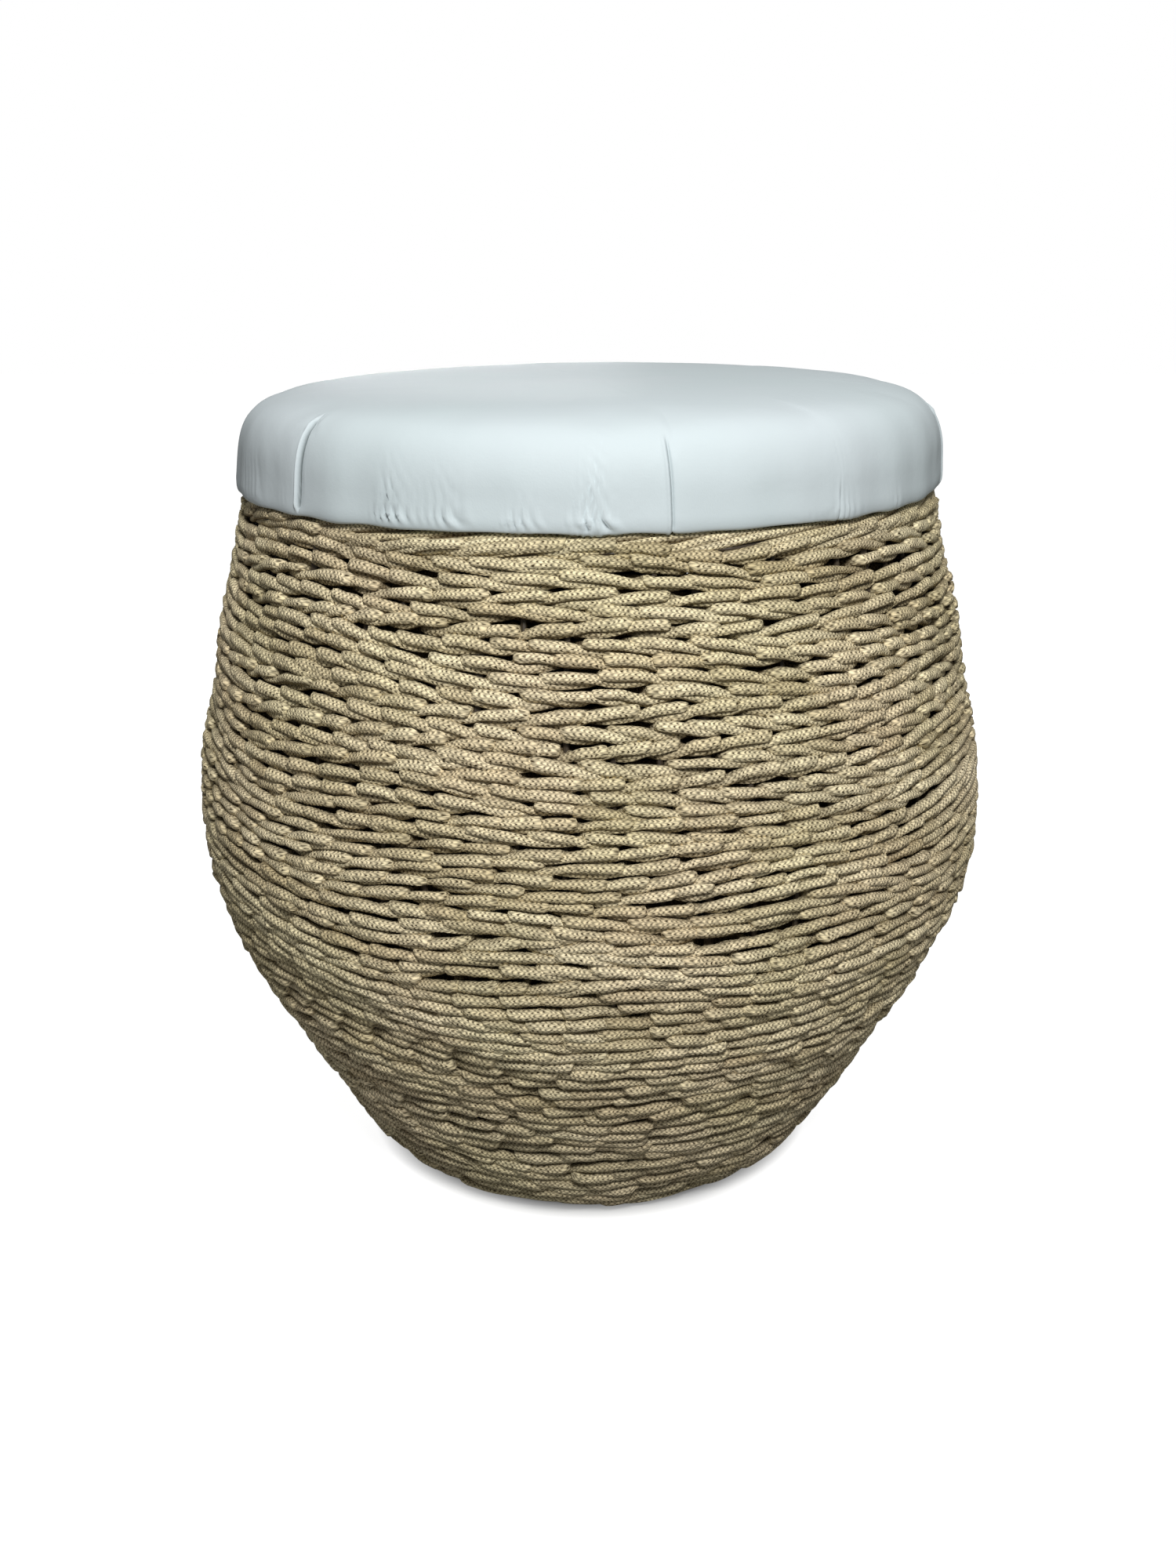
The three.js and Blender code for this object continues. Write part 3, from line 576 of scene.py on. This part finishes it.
def row_strands(arc, pitch, threes, openness, hand):
    """The three strands of one woven row."""
    spaces = threes * STRANDS_IN_ROW
    slip = rows_random.normal(0, SLIP_SPREAD, spaces)
    start_angle = rows_random.uniform(0, TURN)
    row_drift = slow_waves(3, (1, 5), (0, 1))
    row_rise = slow_waves(4, (4, 14), (0, 1))
    strands = []
    for strand in range(STRANDS_IN_ROW):
        starts = np.arange(threes) * STRANDS_IN_ROW + strand
        middles = start_angle + hand * (starts + 1) * TURN / spaces
        snugness = (1 - openness + SNUG_SWAY * sway(middles, arc, OPEN_WAVES)
                    + rows_random.normal(0, SNUG_SPREAD, threes))
        snugness = np.clip(snugness, 0, 1)[:, None, None]
        keys = (OPEN_LAY * (1 - snugness) + SNUG_LAY * snugness) * (1, 1, pitch / LAY_PITCH, pitch / LAY_PITCH)
        shape = keys.shape[:2]
        share_out = np.clip(keys[..., 0] / 2, 0, 1)
        keys[..., 0] += starts[:, None]
        keys[..., 0] += (slip[starts % spaces][:, None] * (1 - share_out)
                         + slip[(starts + 2) % spaces][:, None] * share_out)
        outside = keys[..., 1] < FULLY_SHADED_DEPTH
        keys[..., 1] += scattered(DEPTH_SPREAD, shape) * outside
        keys[..., 2] += scattered(CLIMB_SPREAD, shape)
        keys[..., 3] *= 1 + scattered(WIDTH_SPREAD, shape)
        rolls = scattered(ROLL_SPREAD, shape)
        keys = np.concatenate([keys, rolls[..., None]], axis=2).reshape(-1, 5)
        lap = np.array([[spaces, 0, 0, 0, 0]])
        keys = halved(keys, keys[-1:] - lap, np.vstack([keys[:1] + lap, keys[1:2] + lap]))
        travelled, key_depths, key_climbs, half_widths, rolls = keys.T
        turned = start_angle + hand * travelled * TURN / spaces
        angles = turned + SPACE_DRIFT * TURN / spaces * sway(turned, 0, row_drift)
        half_widths = half_widths * MM
        arcs = arc + (key_climbs + ROW_WANDER * sway(angles, arc, ROW_WAVES)
                      + ROW_RISE * sway(angles, 0, row_rise)) * MM
        arcs = np.clip(arcs, half_widths - PAST_FOOT, WALL_LENGTH + PAST_RIM - half_widths)
        depths = key_depths + LAY_INSET + DEPTH_WANDER * sway(angles, arc, DEPTH_WAVES)
        depths = (np.maximum(depths, LEAST_DEPTH) * MM
                  + RIM_TUCK * share_between(arcs, WALL_LENGTH - TOP_ROW, WALL_LENGTH))
        path, climb = in_wall(angles, arcs, depths)
        shades = np.repeat(rows_random.normal(SHADE_MIDDLE, SHADE_SPREAD, threes), len(keys) // threes)
        shades = np.clip(shades + SHADE_SWAY * sway(angles, arc, OPEN_WAVES[::-1]), 0, 1)
        # The deeper a rope lies, the more painted shade it takes
        painted_shade = share_between(depths / MM, UNSHADED_DEPTH, FULLY_SHADED_DEPTH)
        half_thicknesses = (ROPE_HALF_THICKNESS * (1 + SWELL * np.sin(SWELL_RATE * travelled))
                            * (1 - (1 - PRESSED_SHARE) * share_between(key_depths, FLAT_OUT_DEPTH, PRESSED_DEPTH)))
        strands.append((path, climb, half_widths, half_thicknesses, rolls, (shades, painted_shade)))
    return strands


# The border lies behind the outermost row
OUTER_BORDER_SHARE = 0.4
BORDER_STRANDS = 8
BORDER_POINTS = 480
# Half a strand's width as a share of its room, how far it wanders sideways and outwards, its shade and its roll
BORDER_WIDTH_SHARE = 0.54
BORDER_WANDER, BORDER_PUFF = 0.13, 0.55 * MM
BORDER_SHADE, BORDER_ROLL = 0.2, 0.25


def ring_strands(ring, turns):
    """Strands laid side by side round a ring of the cage, like a rope border."""
    lay_radius = WALL_HALF - ROPE_HALF_THICKNESS
    half_widths = np.full(BORDER_POINTS, BORDER_WIDTH_SHARE * TURN * lay_radius / BORDER_STRANDS)
    half_thicknesses = np.full(BORDER_POINTS, ROPE_HALF_THICKNESS)
    angles = np.arange(BORDER_POINTS) * TURN / BORDER_POINTS
    strands = []
    for strand in range(BORDER_STRANDS):
        wave = slow_waves(5, (3, 17), (0, 1))
        around = turns * angles + strand * TURN / BORDER_STRANDS + BORDER_WANDER * sway(angles, 0, wave)
        puffed = lay_radius + BORDER_PUFF * sway(angles, 0, wave[::-1][:3])
        outward = puffed * np.where(np.cos(around) > 0, OUTER_BORDER_SHARE, 1) * np.cos(around)
        path = round_drum(angles, ring[0] + outward, ring[1] + puffed * np.sin(around))
        across = round_drum(angles, -np.sin(around), np.cos(around))
        shades = np.clip(SHADE_MIDDLE + BORDER_SHADE * sway(angles, 0, wave), 0, 1)
        # The border's inner side, towards the ring, is painted darker: painted shade
        painted_shade = np.clip(-np.cos(around), 0, 1)
        rolls = BORDER_ROLL * sway(angles, 0, wave[1:4])
        strands.append((path, across, half_widths, half_thicknesses, rolls, (shades, painted_shade)))
    return strands


def first_past(table, share):
    """The first row of a table whose share isn't passed yet."""
    return next(row for row in table if share <= row[0] + TINY)


row_arcs = [FIRST_ROW]
while row_arcs[-1] < WALL_LENGTH - RIM_ROOM:
    row_arcs.append(row_arcs[-1] + np.interp(row_arcs[-1] / WALL_LENGTH, PITCH_SHARES, PITCHES) * MM)

# Pieces of the wall: share of its length where each ends, its name, and the CAD node that it stands for
WALL_PIECES = [
    (0.15, "woven_base_lower", "weave_base"), (0.275, "woven_base_upper", "weave_base"),
    (0.42, "woven_flank_lower", "weave_flank"), (0.53, "woven_flank_upper", "weave_flank"),
    (0.63, "woven_belly_lower", "weave_belly"), (0.73, "woven_belly_upper", "weave_belly"),
    (0.83, "woven_shoulder_lower", "weave_shoulder"), (0.92, "woven_shoulder_middle", "weave_shoulder"),
    (1.0, "woven_shoulder_upper", "weave_shoulder"),
]
wall_strands = {name: [] for _, name, _ in WALL_PIECES}
for arc in row_arcs:
    share = min(arc / WALL_LENGTH, 1)
    _, openness, hand = first_past(BANDS, share)
    if rows_random.random() < ODD_ROW_SHARE:
        openness, hand = 1 - openness, -hand
    _, threes = first_past(SPACES, share)
    threes += rows_random.integers(*THREES_SPREAD)
    _, name, _ = first_past(WALL_PIECES, share)
    pitch = np.interp(share, PITCH_SHARES, PITCHES)
    wall_strands[name] += row_strands(arc, pitch, threes, openness, hand)
for _, name, cad_node in WALL_PIECES:
    rope_piece(name, wall_strands[name], cad_node)
rope_piece("rim_border", ring_strands(TOP_RING, 5), "rim_wrap")
rope_piece("foot_border", ring_strands(BASE_RING, 4), "foot_wrap")


# Shapes spun and extruded by the modelling operators
def single_vertex(name, place):
    """A new object in edit mode, with one vertex at a place."""
    select_only()
    bpy.ops.mesh.primitive_plane_add(size=1 * MM)
    piece = bpy.context.object
    piece.name = piece.data.name = name
    bpy.ops.object.mode_set(mode="EDIT")
    bpy.ops.mesh.select_all(action="SELECT")
    bpy.ops.mesh.merge(type="CENTER")
    bpy.ops.transform.translate(value=place)
    return piece


def spun(name, profile, steps):
    """A shape of revolution, spun from a profile of radii and heights that runs outwards and up."""
    piece = single_vertex(name, (profile[0][0], 0, profile[0][1]))
    for (radius, height), (next_radius, next_height) in zip(profile, profile[1:]):
        bpy.ops.mesh.extrude_region_move(
            TRANSFORM_OT_translate={"value": (next_radius - radius, 0, next_height - height)})
    bpy.ops.mesh.select_all(action="SELECT")
    bpy.ops.mesh.spin(steps=steps, angle=TURN, center=(0, 0, 0), axis=(0, 0, 1))
    bpy.ops.mesh.select_all(action="SELECT")
    bpy.ops.mesh.remove_doubles(threshold=0.01 * MM)
    bpy.ops.mesh.normals_make_consistent(inside=False)
    bpy.ops.object.mode_set(mode="OBJECT")
    return piece


def apply_modifier(piece, kind, **settings):
    """Adds a modifier with its settings and applies it."""
    modifier = piece.modifiers.new(kind.lower(), kind)
    for setting, value in settings.items():
        setattr(modifier, setting, value)
    select_only(piece)
    bpy.ops.object.modifier_apply(modifier=modifier.name)


def read_points(mesh, what="co"):
    """The places or normals of a mesh's vertices."""
    values = np.empty(len(mesh.vertices) * 3)
    mesh.vertices.foreach_get(what, values)
    return values.reshape(-1, 3)


def write_points(mesh, points):
    """Moves a mesh's vertices."""
    mesh.vertices.foreach_set("co", points.ravel())
    mesh.update()


# Seat pad: the photograph's is a little slimmer and flatter than the solid, with a square shoulder
PAD_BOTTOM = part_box("seat_cover")[0].z
PAD_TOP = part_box("seat_cover")[1].z - 6.5 * MM
PAD_RADIUS = 194.2 * MM
PAD_UNDERSIDE_RADIUS = 191 * MM
PAD_WIDEST = PAD_BOTTOM + 8 * MM
TURNED_UNDER_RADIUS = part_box("seat_board")[1].x - 40 * MM
SHOULDER_TURNS = [math.radians(turn) for turn in np.linspace(0, 78, 18)]
# Powers of the crown's and the tuck's curves, sideways and up: 1 makes them round
CROWN_SIDE_POWER, CROWN_TOP_POWER = 0.115, 0.88
TUCK_SIDE_POWER, TUCK_UP_POWER = 0.7, 1.1
UNDER_STEPS, TUCK_STEPS, TOP_STEPS = 8, 9, 13


def pad_profile(inset, inner_radius):
    """Radii and heights of the pad's outline, from under the board round to the middle of the top."""
    radius = PAD_RADIUS - inset
    underside_radius = PAD_UNDERSIDE_RADIUS - inset
    bottom = PAD_BOTTOM + inset
    rise = PAD_TOP - PAD_WIDEST - inset
    bulge = PAD_RADIUS - PAD_UNDERSIDE_RADIUS
    under = [(reach, bottom) for reach in np.linspace(inner_radius, underside_radius, UNDER_STEPS)]
    tuck = [(underside_radius + bulge * math.sin(turn) ** TUCK_SIDE_POWER,
             bottom + (PAD_WIDEST - bottom) * (1 - math.cos(turn)) ** TUCK_UP_POWER)
            for turn in np.linspace(0, math.pi / 2, TUCK_STEPS)[1:-1]]
    shoulder = [(radius * math.cos(turn) ** CROWN_SIDE_POWER,
                 PAD_WIDEST + rise * math.sin(turn) ** CROWN_TOP_POWER) for turn in SHOULDER_TURNS]
    top = [(reach, PAD_WIDEST + rise * (1 - (reach / radius) ** (2 / CROWN_SIDE_POWER)) ** (CROWN_TOP_POWER / 2))
           for reach in np.linspace(shoulder[-1][0], 0, TOP_STEPS)[1:]]
    return under + tuck + shoulder + top


STUFFING_ROOM = 2.0 * MM
STUFFING_STEPS = 72
STUFFING_VOXEL = 6 * MM
STUFFING_CAP = 5 * MM
STUFFING_FRAMES = 20
STUFFING_HELD_TO = 5 * MM
# A wide flat pad balloons under more pressure than this. The cover is cut a little larger than the form
STUFFING_PRESSURE = 0.25
COVER_SLACK = 0.015


def stuffed_form():
    """The pad's form, blown up by a cloth simulation from a slightly smaller one, held where it is stapled."""
    form = spun("stuffed_form", pad_profile(STUFFING_ROOM, 0), STUFFING_STEPS)
    apply_modifier(form, "REMESH", mode="VOXEL", voxel_size=STUFFING_VOXEL)
    start = read_points(form.data)
    held = form.vertex_groups.new(name="held")
    held.add([int(i) for i in np.flatnonzero(start[:, 2] < PAD_BOTTOM + STUFFING_HELD_TO)], 1.0, "REPLACE")
    cloth = form.modifiers.new("cloth", "CLOTH")
    cloth.settings.vertex_group_mass = "held"
    cloth.settings.use_pressure = True
    cloth.settings.uniform_pressure_force = STUFFING_PRESSURE
    cloth.settings.shrink_min = -COVER_SLACK
    cloth.settings.effector_weights.gravity = 0
    for frame_number in range(1, STUFFING_FRAMES + 1):
        bpy.context.scene.frame_set(frame_number)
    bpy.context.view_layer.objects.active = form
    bpy.ops.object.modifier_apply(modifier=cloth.name)
    bpy.context.scene.frame_set(1)
    moved = read_points(form.data) - start
    reach = np.linalg.norm(moved, axis=1, keepdims=True)
    write_points(form.data, start + moved * np.minimum(1, STUFFING_CAP / np.maximum(reach, TINY)))
    apply_modifier(form, "SMOOTH", factor=0.5, iterations=6)
    return form


# Pleats of the cover: turn from the front to the right, where each starts and ends up it in mm, and its depth
PLEATS = [(-47, 0, 66, 1.3), (11, 0, 56, 0.65), (38, 0, 20, 0.4), (79, 0, 60, 1.1), (136, 0, 62, 0.9),
          (196, 0, 56, 0.8), (254, 0, 64, 1.0)]
# A pleat from side to side, in mm: a lip on its left, the crease, a hollow that is wider on the right, and the
# painted shade in the crease
LIP_HEIGHT, LIP_PLACE, LIP_WIDTH = 1.1, -1.5, 1.1
CREASE_DEPTH, CREASE_WIDTH = 1.5, 0.7
HOLLOW_DEPTH, HOLLOW_LEFT, HOLLOW_RIGHT = 1.2, 0.8, 3.4
CREASE_SHADE_PLACE, CREASE_SHADE_WIDTH = -0.25, 0.35
# Up the cover, in mm: how far it winds and over what length, and how slowly it starts and runs out
PLEAT_WIND, PLEAT_WIND_LENGTH = 0.8, 17
PLEAT_START, PLEAT_END = 4, 14
# The gathers where it runs out: how many, how high as a share of it, and their middle, start and reach in mm
GATHERS, GATHER_HEIGHT = 9, 0.35
GATHER_DROP, GATHER_START, GATHER_REACH = 10, 4, 11
# Puckers of the lower edge: turns where a group starts and ends, strength, spacing in mm, lean, and reach in mm
PUCKERS = [
    (-34, 6, 1.7, 4.8, 0.45, 20), (-8, 8, 0.9, 8.0, 0.9, 42), (23, 62, 0.6, 3.6, 0.25, 7),
    (-80, -50, 0.5, 6.5, 0.2, 16), (100, 130, 1.2, 5.0, -0.3, 20), (150, 185, 1.4, 5.4, 0.3, 22),
    (205, 240, 1.1, 4.6, -0.2, 16),
]
PUCKER_HEIGHT = 0.62
PUCKER_BEND = 2.6
PUCKER_WAVES = slow_waves(8, (5, 40), (0, 1))
# The lower edge is a little wavy all round, up to a height in mm
EDGE_WAVE, EDGE_WAVE_REACH = 0.35, 45
SKIN_STEPS = 1100
# Up to here the cover is pulled tight over the board's edge
TIGHT_EDGE = 4 * MM
# How much of the cover's form comes from the stuffing, and how much as drawn
STUFFED_SHARE = 0.55
# The top slopes a little to the left, in height by width, and there the cover's edge hangs over the rim
ASKEW = 0.011
HANG_DOWN = 4 * MM
HANG_OUT = 1.2 * MM
# How steeply the hang grows towards the left, and the heights between which it fades
HANG_POWER = 1.5
HANG_FADE = (2 * MM, 26 * MM)
# Pleats and puckers fade out between these radii in mm, under the board's edge
UNDERSIDE_FADE = (170, 186)
COVER_THICKNESS = 1.4 * MM
PLEAT_CROWDING = 4
PLEAT_CROWDING_WIDTH = math.radians(1.3)
DENSITY_STEPS = 36001


def turn_between(angles, other):
    """How far angles turn past another, from minus to plus half a turn."""
    return (angles - other + math.pi) % TURN - math.pi


def skin_angles():
    """Angles of the skin's columns, crowded together at the pleats."""
    fine = np.linspace(0, TURN, DENSITY_STEPS)
    density = np.ones_like(fine)
    for turn, _, _, _ in PLEATS:
        off = turn_between(fine, math.radians(turn - 90))
        density += PLEAT_CROWDING * np.exp(-(off / PLEAT_CROWDING_WIDTH) ** 2)
    counted = np.concatenate([[0], np.cumsum((density[1:] + density[:-1]) / 2)])
    return np.interp(np.arange(SKIN_STEPS) / SKIN_STEPS * counted[-1], counted, fine)


def fit_to_stuffing(skin):
    """Draws the skin part of the way to the stuffed form, except where it is stapled tight."""
    form = stuffed_form()
    drawn = read_points(skin.data)
    apply_modifier(skin, "SHRINKWRAP", target=form, wrap_method="NEAREST_SURFACEPOINT")
    bpy.data.objects.remove(form)
    apply_modifier(skin, "SMOOTH", factor=0.5, iterations=4)
    fitted = read_points(skin.data)
    loose = STUFFED_SHARE * eased(drawn[:, 2:] - PAD_BOTTOM, TIGHT_EDGE, 5 * TIGHT_EDGE)
    write_points(skin.data, drawn + (fitted - drawn) * loose)


def settled(points):
    """The skin's points with the slope of the top, and the hang of the edge on the left."""
    points[:, 2] += ASKEW * points[:, 0] * (points[:, 2] - PAD_BOTTOM) / (PAD_TOP - PAD_BOTTOM)
    radii = np.hypot(points[:, 0], points[:, 1])
    hang = (np.clip(-points[:, 0] / PAD_RADIUS, 0, 1) ** HANG_POWER
            * eased(radii, PAD_UNDERSIDE_RADIUS - 1 * MM, PAD_RADIUS)
            * (1 - eased(points[:, 2] - PAD_BOTTOM, *HANG_FADE)))
    outward = HANG_OUT * hang / np.maximum(radii, TINY)
    return points + np.stack([outward * points[:, 0], outward * points[:, 1], -HANG_DOWN * hang], axis=-1)


def pleated(angles, radii, climb, beneath):
    """How far the pleats raise the skin, in mm, and how much painted shade lies in their creases."""
    rise, crease_shade = np.zeros_like(radii), np.zeros_like(radii)
    for turn, low, high, depth in PLEATS:
        across = (turn_between(angles, math.radians(turn - 90)) * radii / MM
                  + PLEAT_WIND * np.sin(climb / PLEAT_WIND_LENGTH + turn))
        length = eased(climb, low, low + PLEAT_START) * (1 - eased(climb, high - PLEAT_END, high)) * beneath
        lip = LIP_HEIGHT * np.exp(-((across - LIP_PLACE) / LIP_WIDTH) ** 2)
        crease = CREASE_DEPTH * np.exp(-(across / CREASE_WIDTH) ** 2)
        hollow = HOLLOW_DEPTH * np.exp(np.where(across > 0, -across / HOLLOW_RIGHT, across / HOLLOW_LEFT))
        rise += depth * length * (lip - crease - hollow)
        crease_shade = np.maximum(crease_shade, depth * length * np.exp(-((across - CREASE_SHADE_PLACE) / CREASE_SHADE_WIDTH) ** 2))
        above = climb - high + GATHER_DROP
        off = np.hypot(across, above)
        gather = np.clip(off / GATHER_START, 0, 1) * np.exp(-(off / GATHER_REACH) ** 2) * beneath
        rise += GATHER_HEIGHT * depth * gather * np.sin(GATHERS * np.arctan2(across, above))
    return rise, crease_shade


def puckered(angles, climb, beneath):
    """How far the puckers and waves of the lower edge raise the skin, in mm."""
    round_way = turn_between(angles, -math.pi / 2) * PAD_RADIUS / MM + PUCKER_BEND * sway(angles, 0, PUCKER_WAVES)
    reach_share = 0.72 + 0.28 * sway(angles, 0, PUCKER_WAVES[::-1])
    strength_share = 0.8 + 0.4 * sway(angles, 0, PUCKER_WAVES[2:5])
    rise = EDGE_WAVE * sway(angles, 0, PUCKER_WAVES[:4]) * np.exp(-(climb / EDGE_WAVE_REACH) ** 2)
    for first, last, strength, spacing, lean, reach in PUCKERS:
        middle, half = math.radians((first + last) / 2 - 90), math.radians((last - first) / 2)
        patch = 1 - eased(np.abs(turn_between(angles, middle)), half * 0.75, half * 1.1)
        fade = eased(climb, 1, 5) * np.exp(-(climb / (reach * reach_share)) ** 2) * strength_share
        phase = (round_way + lean * climb) / spacing * TURN
        rise += PUCKER_HEIGHT * strength * patch * fade * (np.sin(phase) + 0.35 * np.sin(2.3 * phase + 1))
    return rise * beneath


def seat_skin():
    """The cover's skin: spun, fitted over the stuffed form, then pleated, puckered and given its thickness."""
    skin = spun("cushion_cover", pad_profile(0, TURNED_UNDER_RADIUS), SKIN_STEPS)
    fit_to_stuffing(skin)
    points = settled(read_points(skin.data))
    radii = np.hypot(points[:, 0], points[:, 1])
    turns = np.arctan2(points[:, 1], points[:, 0]) % TURN / TURN
    angles = skin_angles()[np.round(turns * SKIN_STEPS).astype(int) % SKIN_STEPS]
    points = round_drum(angles, radii, points[:, 2])
    write_points(skin.data, points)
    normals = read_points(skin.data, "normal")
    climb = (points[:, 2] - PAD_BOTTOM + PAD_RADIUS - radii) / MM
    beneath = eased(radii / MM, *UNDERSIDE_FADE) * (climb > -20)
    rise, crease_shade = pleated(angles, radii, climb, beneath)
    rise += puckered(angles, climb, beneath)
    write_points(skin.data, points + normals * rise[:, None] * MM)
    skin.data.attributes.new("painted_crease_shade", "FLOAT", "POINT").data.foreach_set("value", crease_shade)
    apply_modifier(skin, "SOLIDIFY", thickness=COVER_THICKNESS, offset=-1)
    skin.data.shade_smooth()
    return skin


cover = seat_skin()
finish_piece(cover, "seat_pad", "leatherette", "seat_cover")

# The foam fills the cover above the board
FOAM_GAP = 6.5 * MM
FOAM_CLEARANCE = 0.1 * MM
FOAM_RINGS = (0, 60 * MM, 120 * MM, 180 * MM)
foam_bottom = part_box("seat_board")[1].z + FOAM_CLEARANCE
foam_profile = [(radius, foam_bottom) for radius in FOAM_RINGS]
foam_profile += [(radius, height) for radius, height in pad_profile(FOAM_GAP, TURNED_UNDER_RADIUS)
                 if height > foam_bottom + 1 * MM]
pad_foam = spun("pad_foam", foam_profile, 96)
pad_foam.data.shade_smooth()
pad_foam.data.set_sharp_from_angle(angle=math.radians(50))
finish_piece(pad_foam, "seat_pad", "foam", "seat_foam")

# Staples under the pad, that hold the dust cloth and the edge of the cover
STAPLE_COUNT = 48
STAPLE_LENGTH = 10 * MM
STAPLE_WIRE = 0.9 * MM
STAPLE_BEVEL = 0.3 * MM
STAPLE_INSET = 5 * MM
cloth_low, cloth_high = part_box("dust_cloth")
staple_place = (0, -cloth_high.x + STAPLE_INSET, cloth_low.z - STAPLE_WIRE / 4)
select_only()
bpy.ops.mesh.primitive_cube_add(size=1, location=staple_place)
staple = bpy.context.object
staple.scale = (STAPLE_LENGTH, STAPLE_WIRE, STAPLE_WIRE)
bpy.ops.object.transform_apply()
apply_modifier(staple, "BEVEL", width=STAPLE_BEVEL, segments=2)


def ring_of_copies(original, name, turns):
    """Joins copies of a piece, one turned to each angle round the drum, into one piece."""
    copies = [new_object(name, original.data.copy()) for _ in turns]
    for copy, turn in zip(copies, turns):
        copy.rotation_euler.z = turn
    bpy.data.objects.remove(original)
    select_only(*copies)
    bpy.ops.object.transform_apply()
    bpy.ops.object.join()
    joined = bpy.context.object
    joined.name = joined.data.name = name
    bpy.ops.object.shade_smooth_by_angle(angle=math.radians(40))
    return joined


staples = ring_of_copies(staple, "pad_staples", [i * TURN / STAPLE_COUNT for i in range(STAPLE_COUNT)])
finish_piece(staples, "seat_pad", "zinc_steel")

# Thin rods between the uprights, that the rope is woven round
STAKE_RADIUS = 1.6 * MM
STAKES_PER_UPRIGHT = 4
UPRIGHT_COUNT = 12
FIRST_UPRIGHT = math.radians(15)
STAKE_OVERLAP = 3 * MM
STAKE_BENDS = 32
stake_arcs = np.linspace(WALL_HALF - STAKE_OVERLAP, WALL_LENGTH - WALL_HALF + STAKE_OVERLAP, STAKE_BENDS)
stake_points, _ = in_wall(np.zeros(len(stake_arcs)), stake_arcs, np.full(len(stake_arcs), WALL_HALF))
select_only()
bpy.ops.mesh.primitive_circle_add(vertices=8, radius=STAKE_RADIUS, fill_type="NGON", location=stake_points[0])
stake = bpy.context.object
bpy.ops.object.transform_apply()
bpy.ops.object.mode_set(mode="EDIT")
bpy.ops.mesh.select_all(action="SELECT")
for step in np.diff(stake_points, axis=0):
    bpy.ops.mesh.extrude_region_move(TRANSFORM_OT_translate={"value": step})
bpy.ops.mesh.select_all(action="SELECT")
bpy.ops.mesh.normals_make_consistent(inside=False)
bpy.ops.object.mode_set(mode="OBJECT")
stake_turns = [FIRST_UPRIGHT + (upright + (place + 1) / (STAKES_PER_UPRIGHT + 1)) * TURN / UPRIGHT_COUNT
               for upright in range(UPRIGHT_COUNT) for place in range(STAKES_PER_UPRIGHT)]
stakes = ring_of_copies(stake, "weaving_stakes", stake_turns)
finish_piece(stakes, "drum", "coated_steel")

# Carried-over nodes get their materials by slot
for subpart in frame["record"]["subparts"]:
    for slot in bpy.data.objects[subpart["node"]].material_slots:
        slot.material = MATERIALS[subpart["material_slot"]]

# Floor and light. The floor glows for the camera, a painted brightness that is fullest far off; under the drum,
# where the floor lies in shade, the glow is taken away, which paints a faint shadow round the foot
FLOOR_SIZE = 12
DARK_WITHIN, GLOWS_BEYOND = 118 * MM, 138 * MM
NEAR_BY, FAR_OFF = 0.2, 0.9
NEAR_GLOW = 0.93
select_only()
bpy.ops.mesh.primitive_plane_add(size=FLOOR_SIZE)
floor = bpy.context.object
floor.name = "floor"
floor_material, floor_node = new_material("matt_white_floor")
seen = floor_node("LightPath").outputs["Is Camera Ray"]
paint = floor_node("BsdfDiffuse", {"Color": linear("#9A9A98")})
floor_reach = floor_node("TexCoord").outputs["Object"]
floor_reach = floor_node("VectorMath LENGTH", [floor_reach]).outputs["Value"]
glow = floor_node("MapRange", [floor_reach, DARK_WITHIN, GLOWS_BEYOND])
far_glow = floor_node("MapRange", [floor_reach, NEAR_BY, FAR_OFF, NEAR_GLOW, 1.0])
glow = floor_node("Math MULTIPLY", [glow, far_glow])
glow = floor_node("Emission", {"Color": linear("#FFFFFF"), "Strength": glow})
glow = floor_node("AddShader", [paint, glow])
floor_mix = floor_node("MixShader", [seen, paint, glow])
floor_node("OutputMaterial", {"Surface": floor_mix})
floor.data.materials.append(floor_material)

# The colour values of the materials are those of the finished picture
bpy.context.scene.view_settings.view_transform = "Standard"

# The world is white for the camera and dim as light
WORLD_LIGHT, WORLD_SEEN = 0.18, 1.0
world = bpy.data.worlds.new("studio")
world.use_nodes = True
bpy.context.scene.world = world
world.node_tree.nodes.clear()
world_node = partial(add_node, world.node_tree)
seen = world_node("LightPath").outputs["Is Camera Ray"]
strength = world_node("MapRange", [seen, 0.0, 1.0, WORLD_LIGHT, WORLD_SEEN])
backdrop = world_node("Background", {"Color": linear("#FFFFFF"), "Strength": strength})
world_node("OutputWorld", {"Surface": backdrop})

# Square soft boxes: place, what each is turned to, size in m and power in W
SOFT_BOXES = {
    "key_light": ((0.12, -1.25, 1.3), (0, 0, 0.25), 0.3, 22),
    "top_light": ((0, 0.05, 1.4), (0, 0, 0.4), 0.7, 2.5),
    "back_light": ((-0.2, 1.6, 0.36), (0, 0, 0.25), 0.5, 16),
}
for name, (place, aim, size, power) in SOFT_BOXES.items():
    box_light = bpy.data.lights.new(name, "AREA")
    box_light.size = size
    box_light.energy = power
    light = new_object(name, box_light)
    light.location = place
    light.rotation_euler = (Vector(aim) - Vector(place)).to_track_quat("-Z", "Y").to_euler()
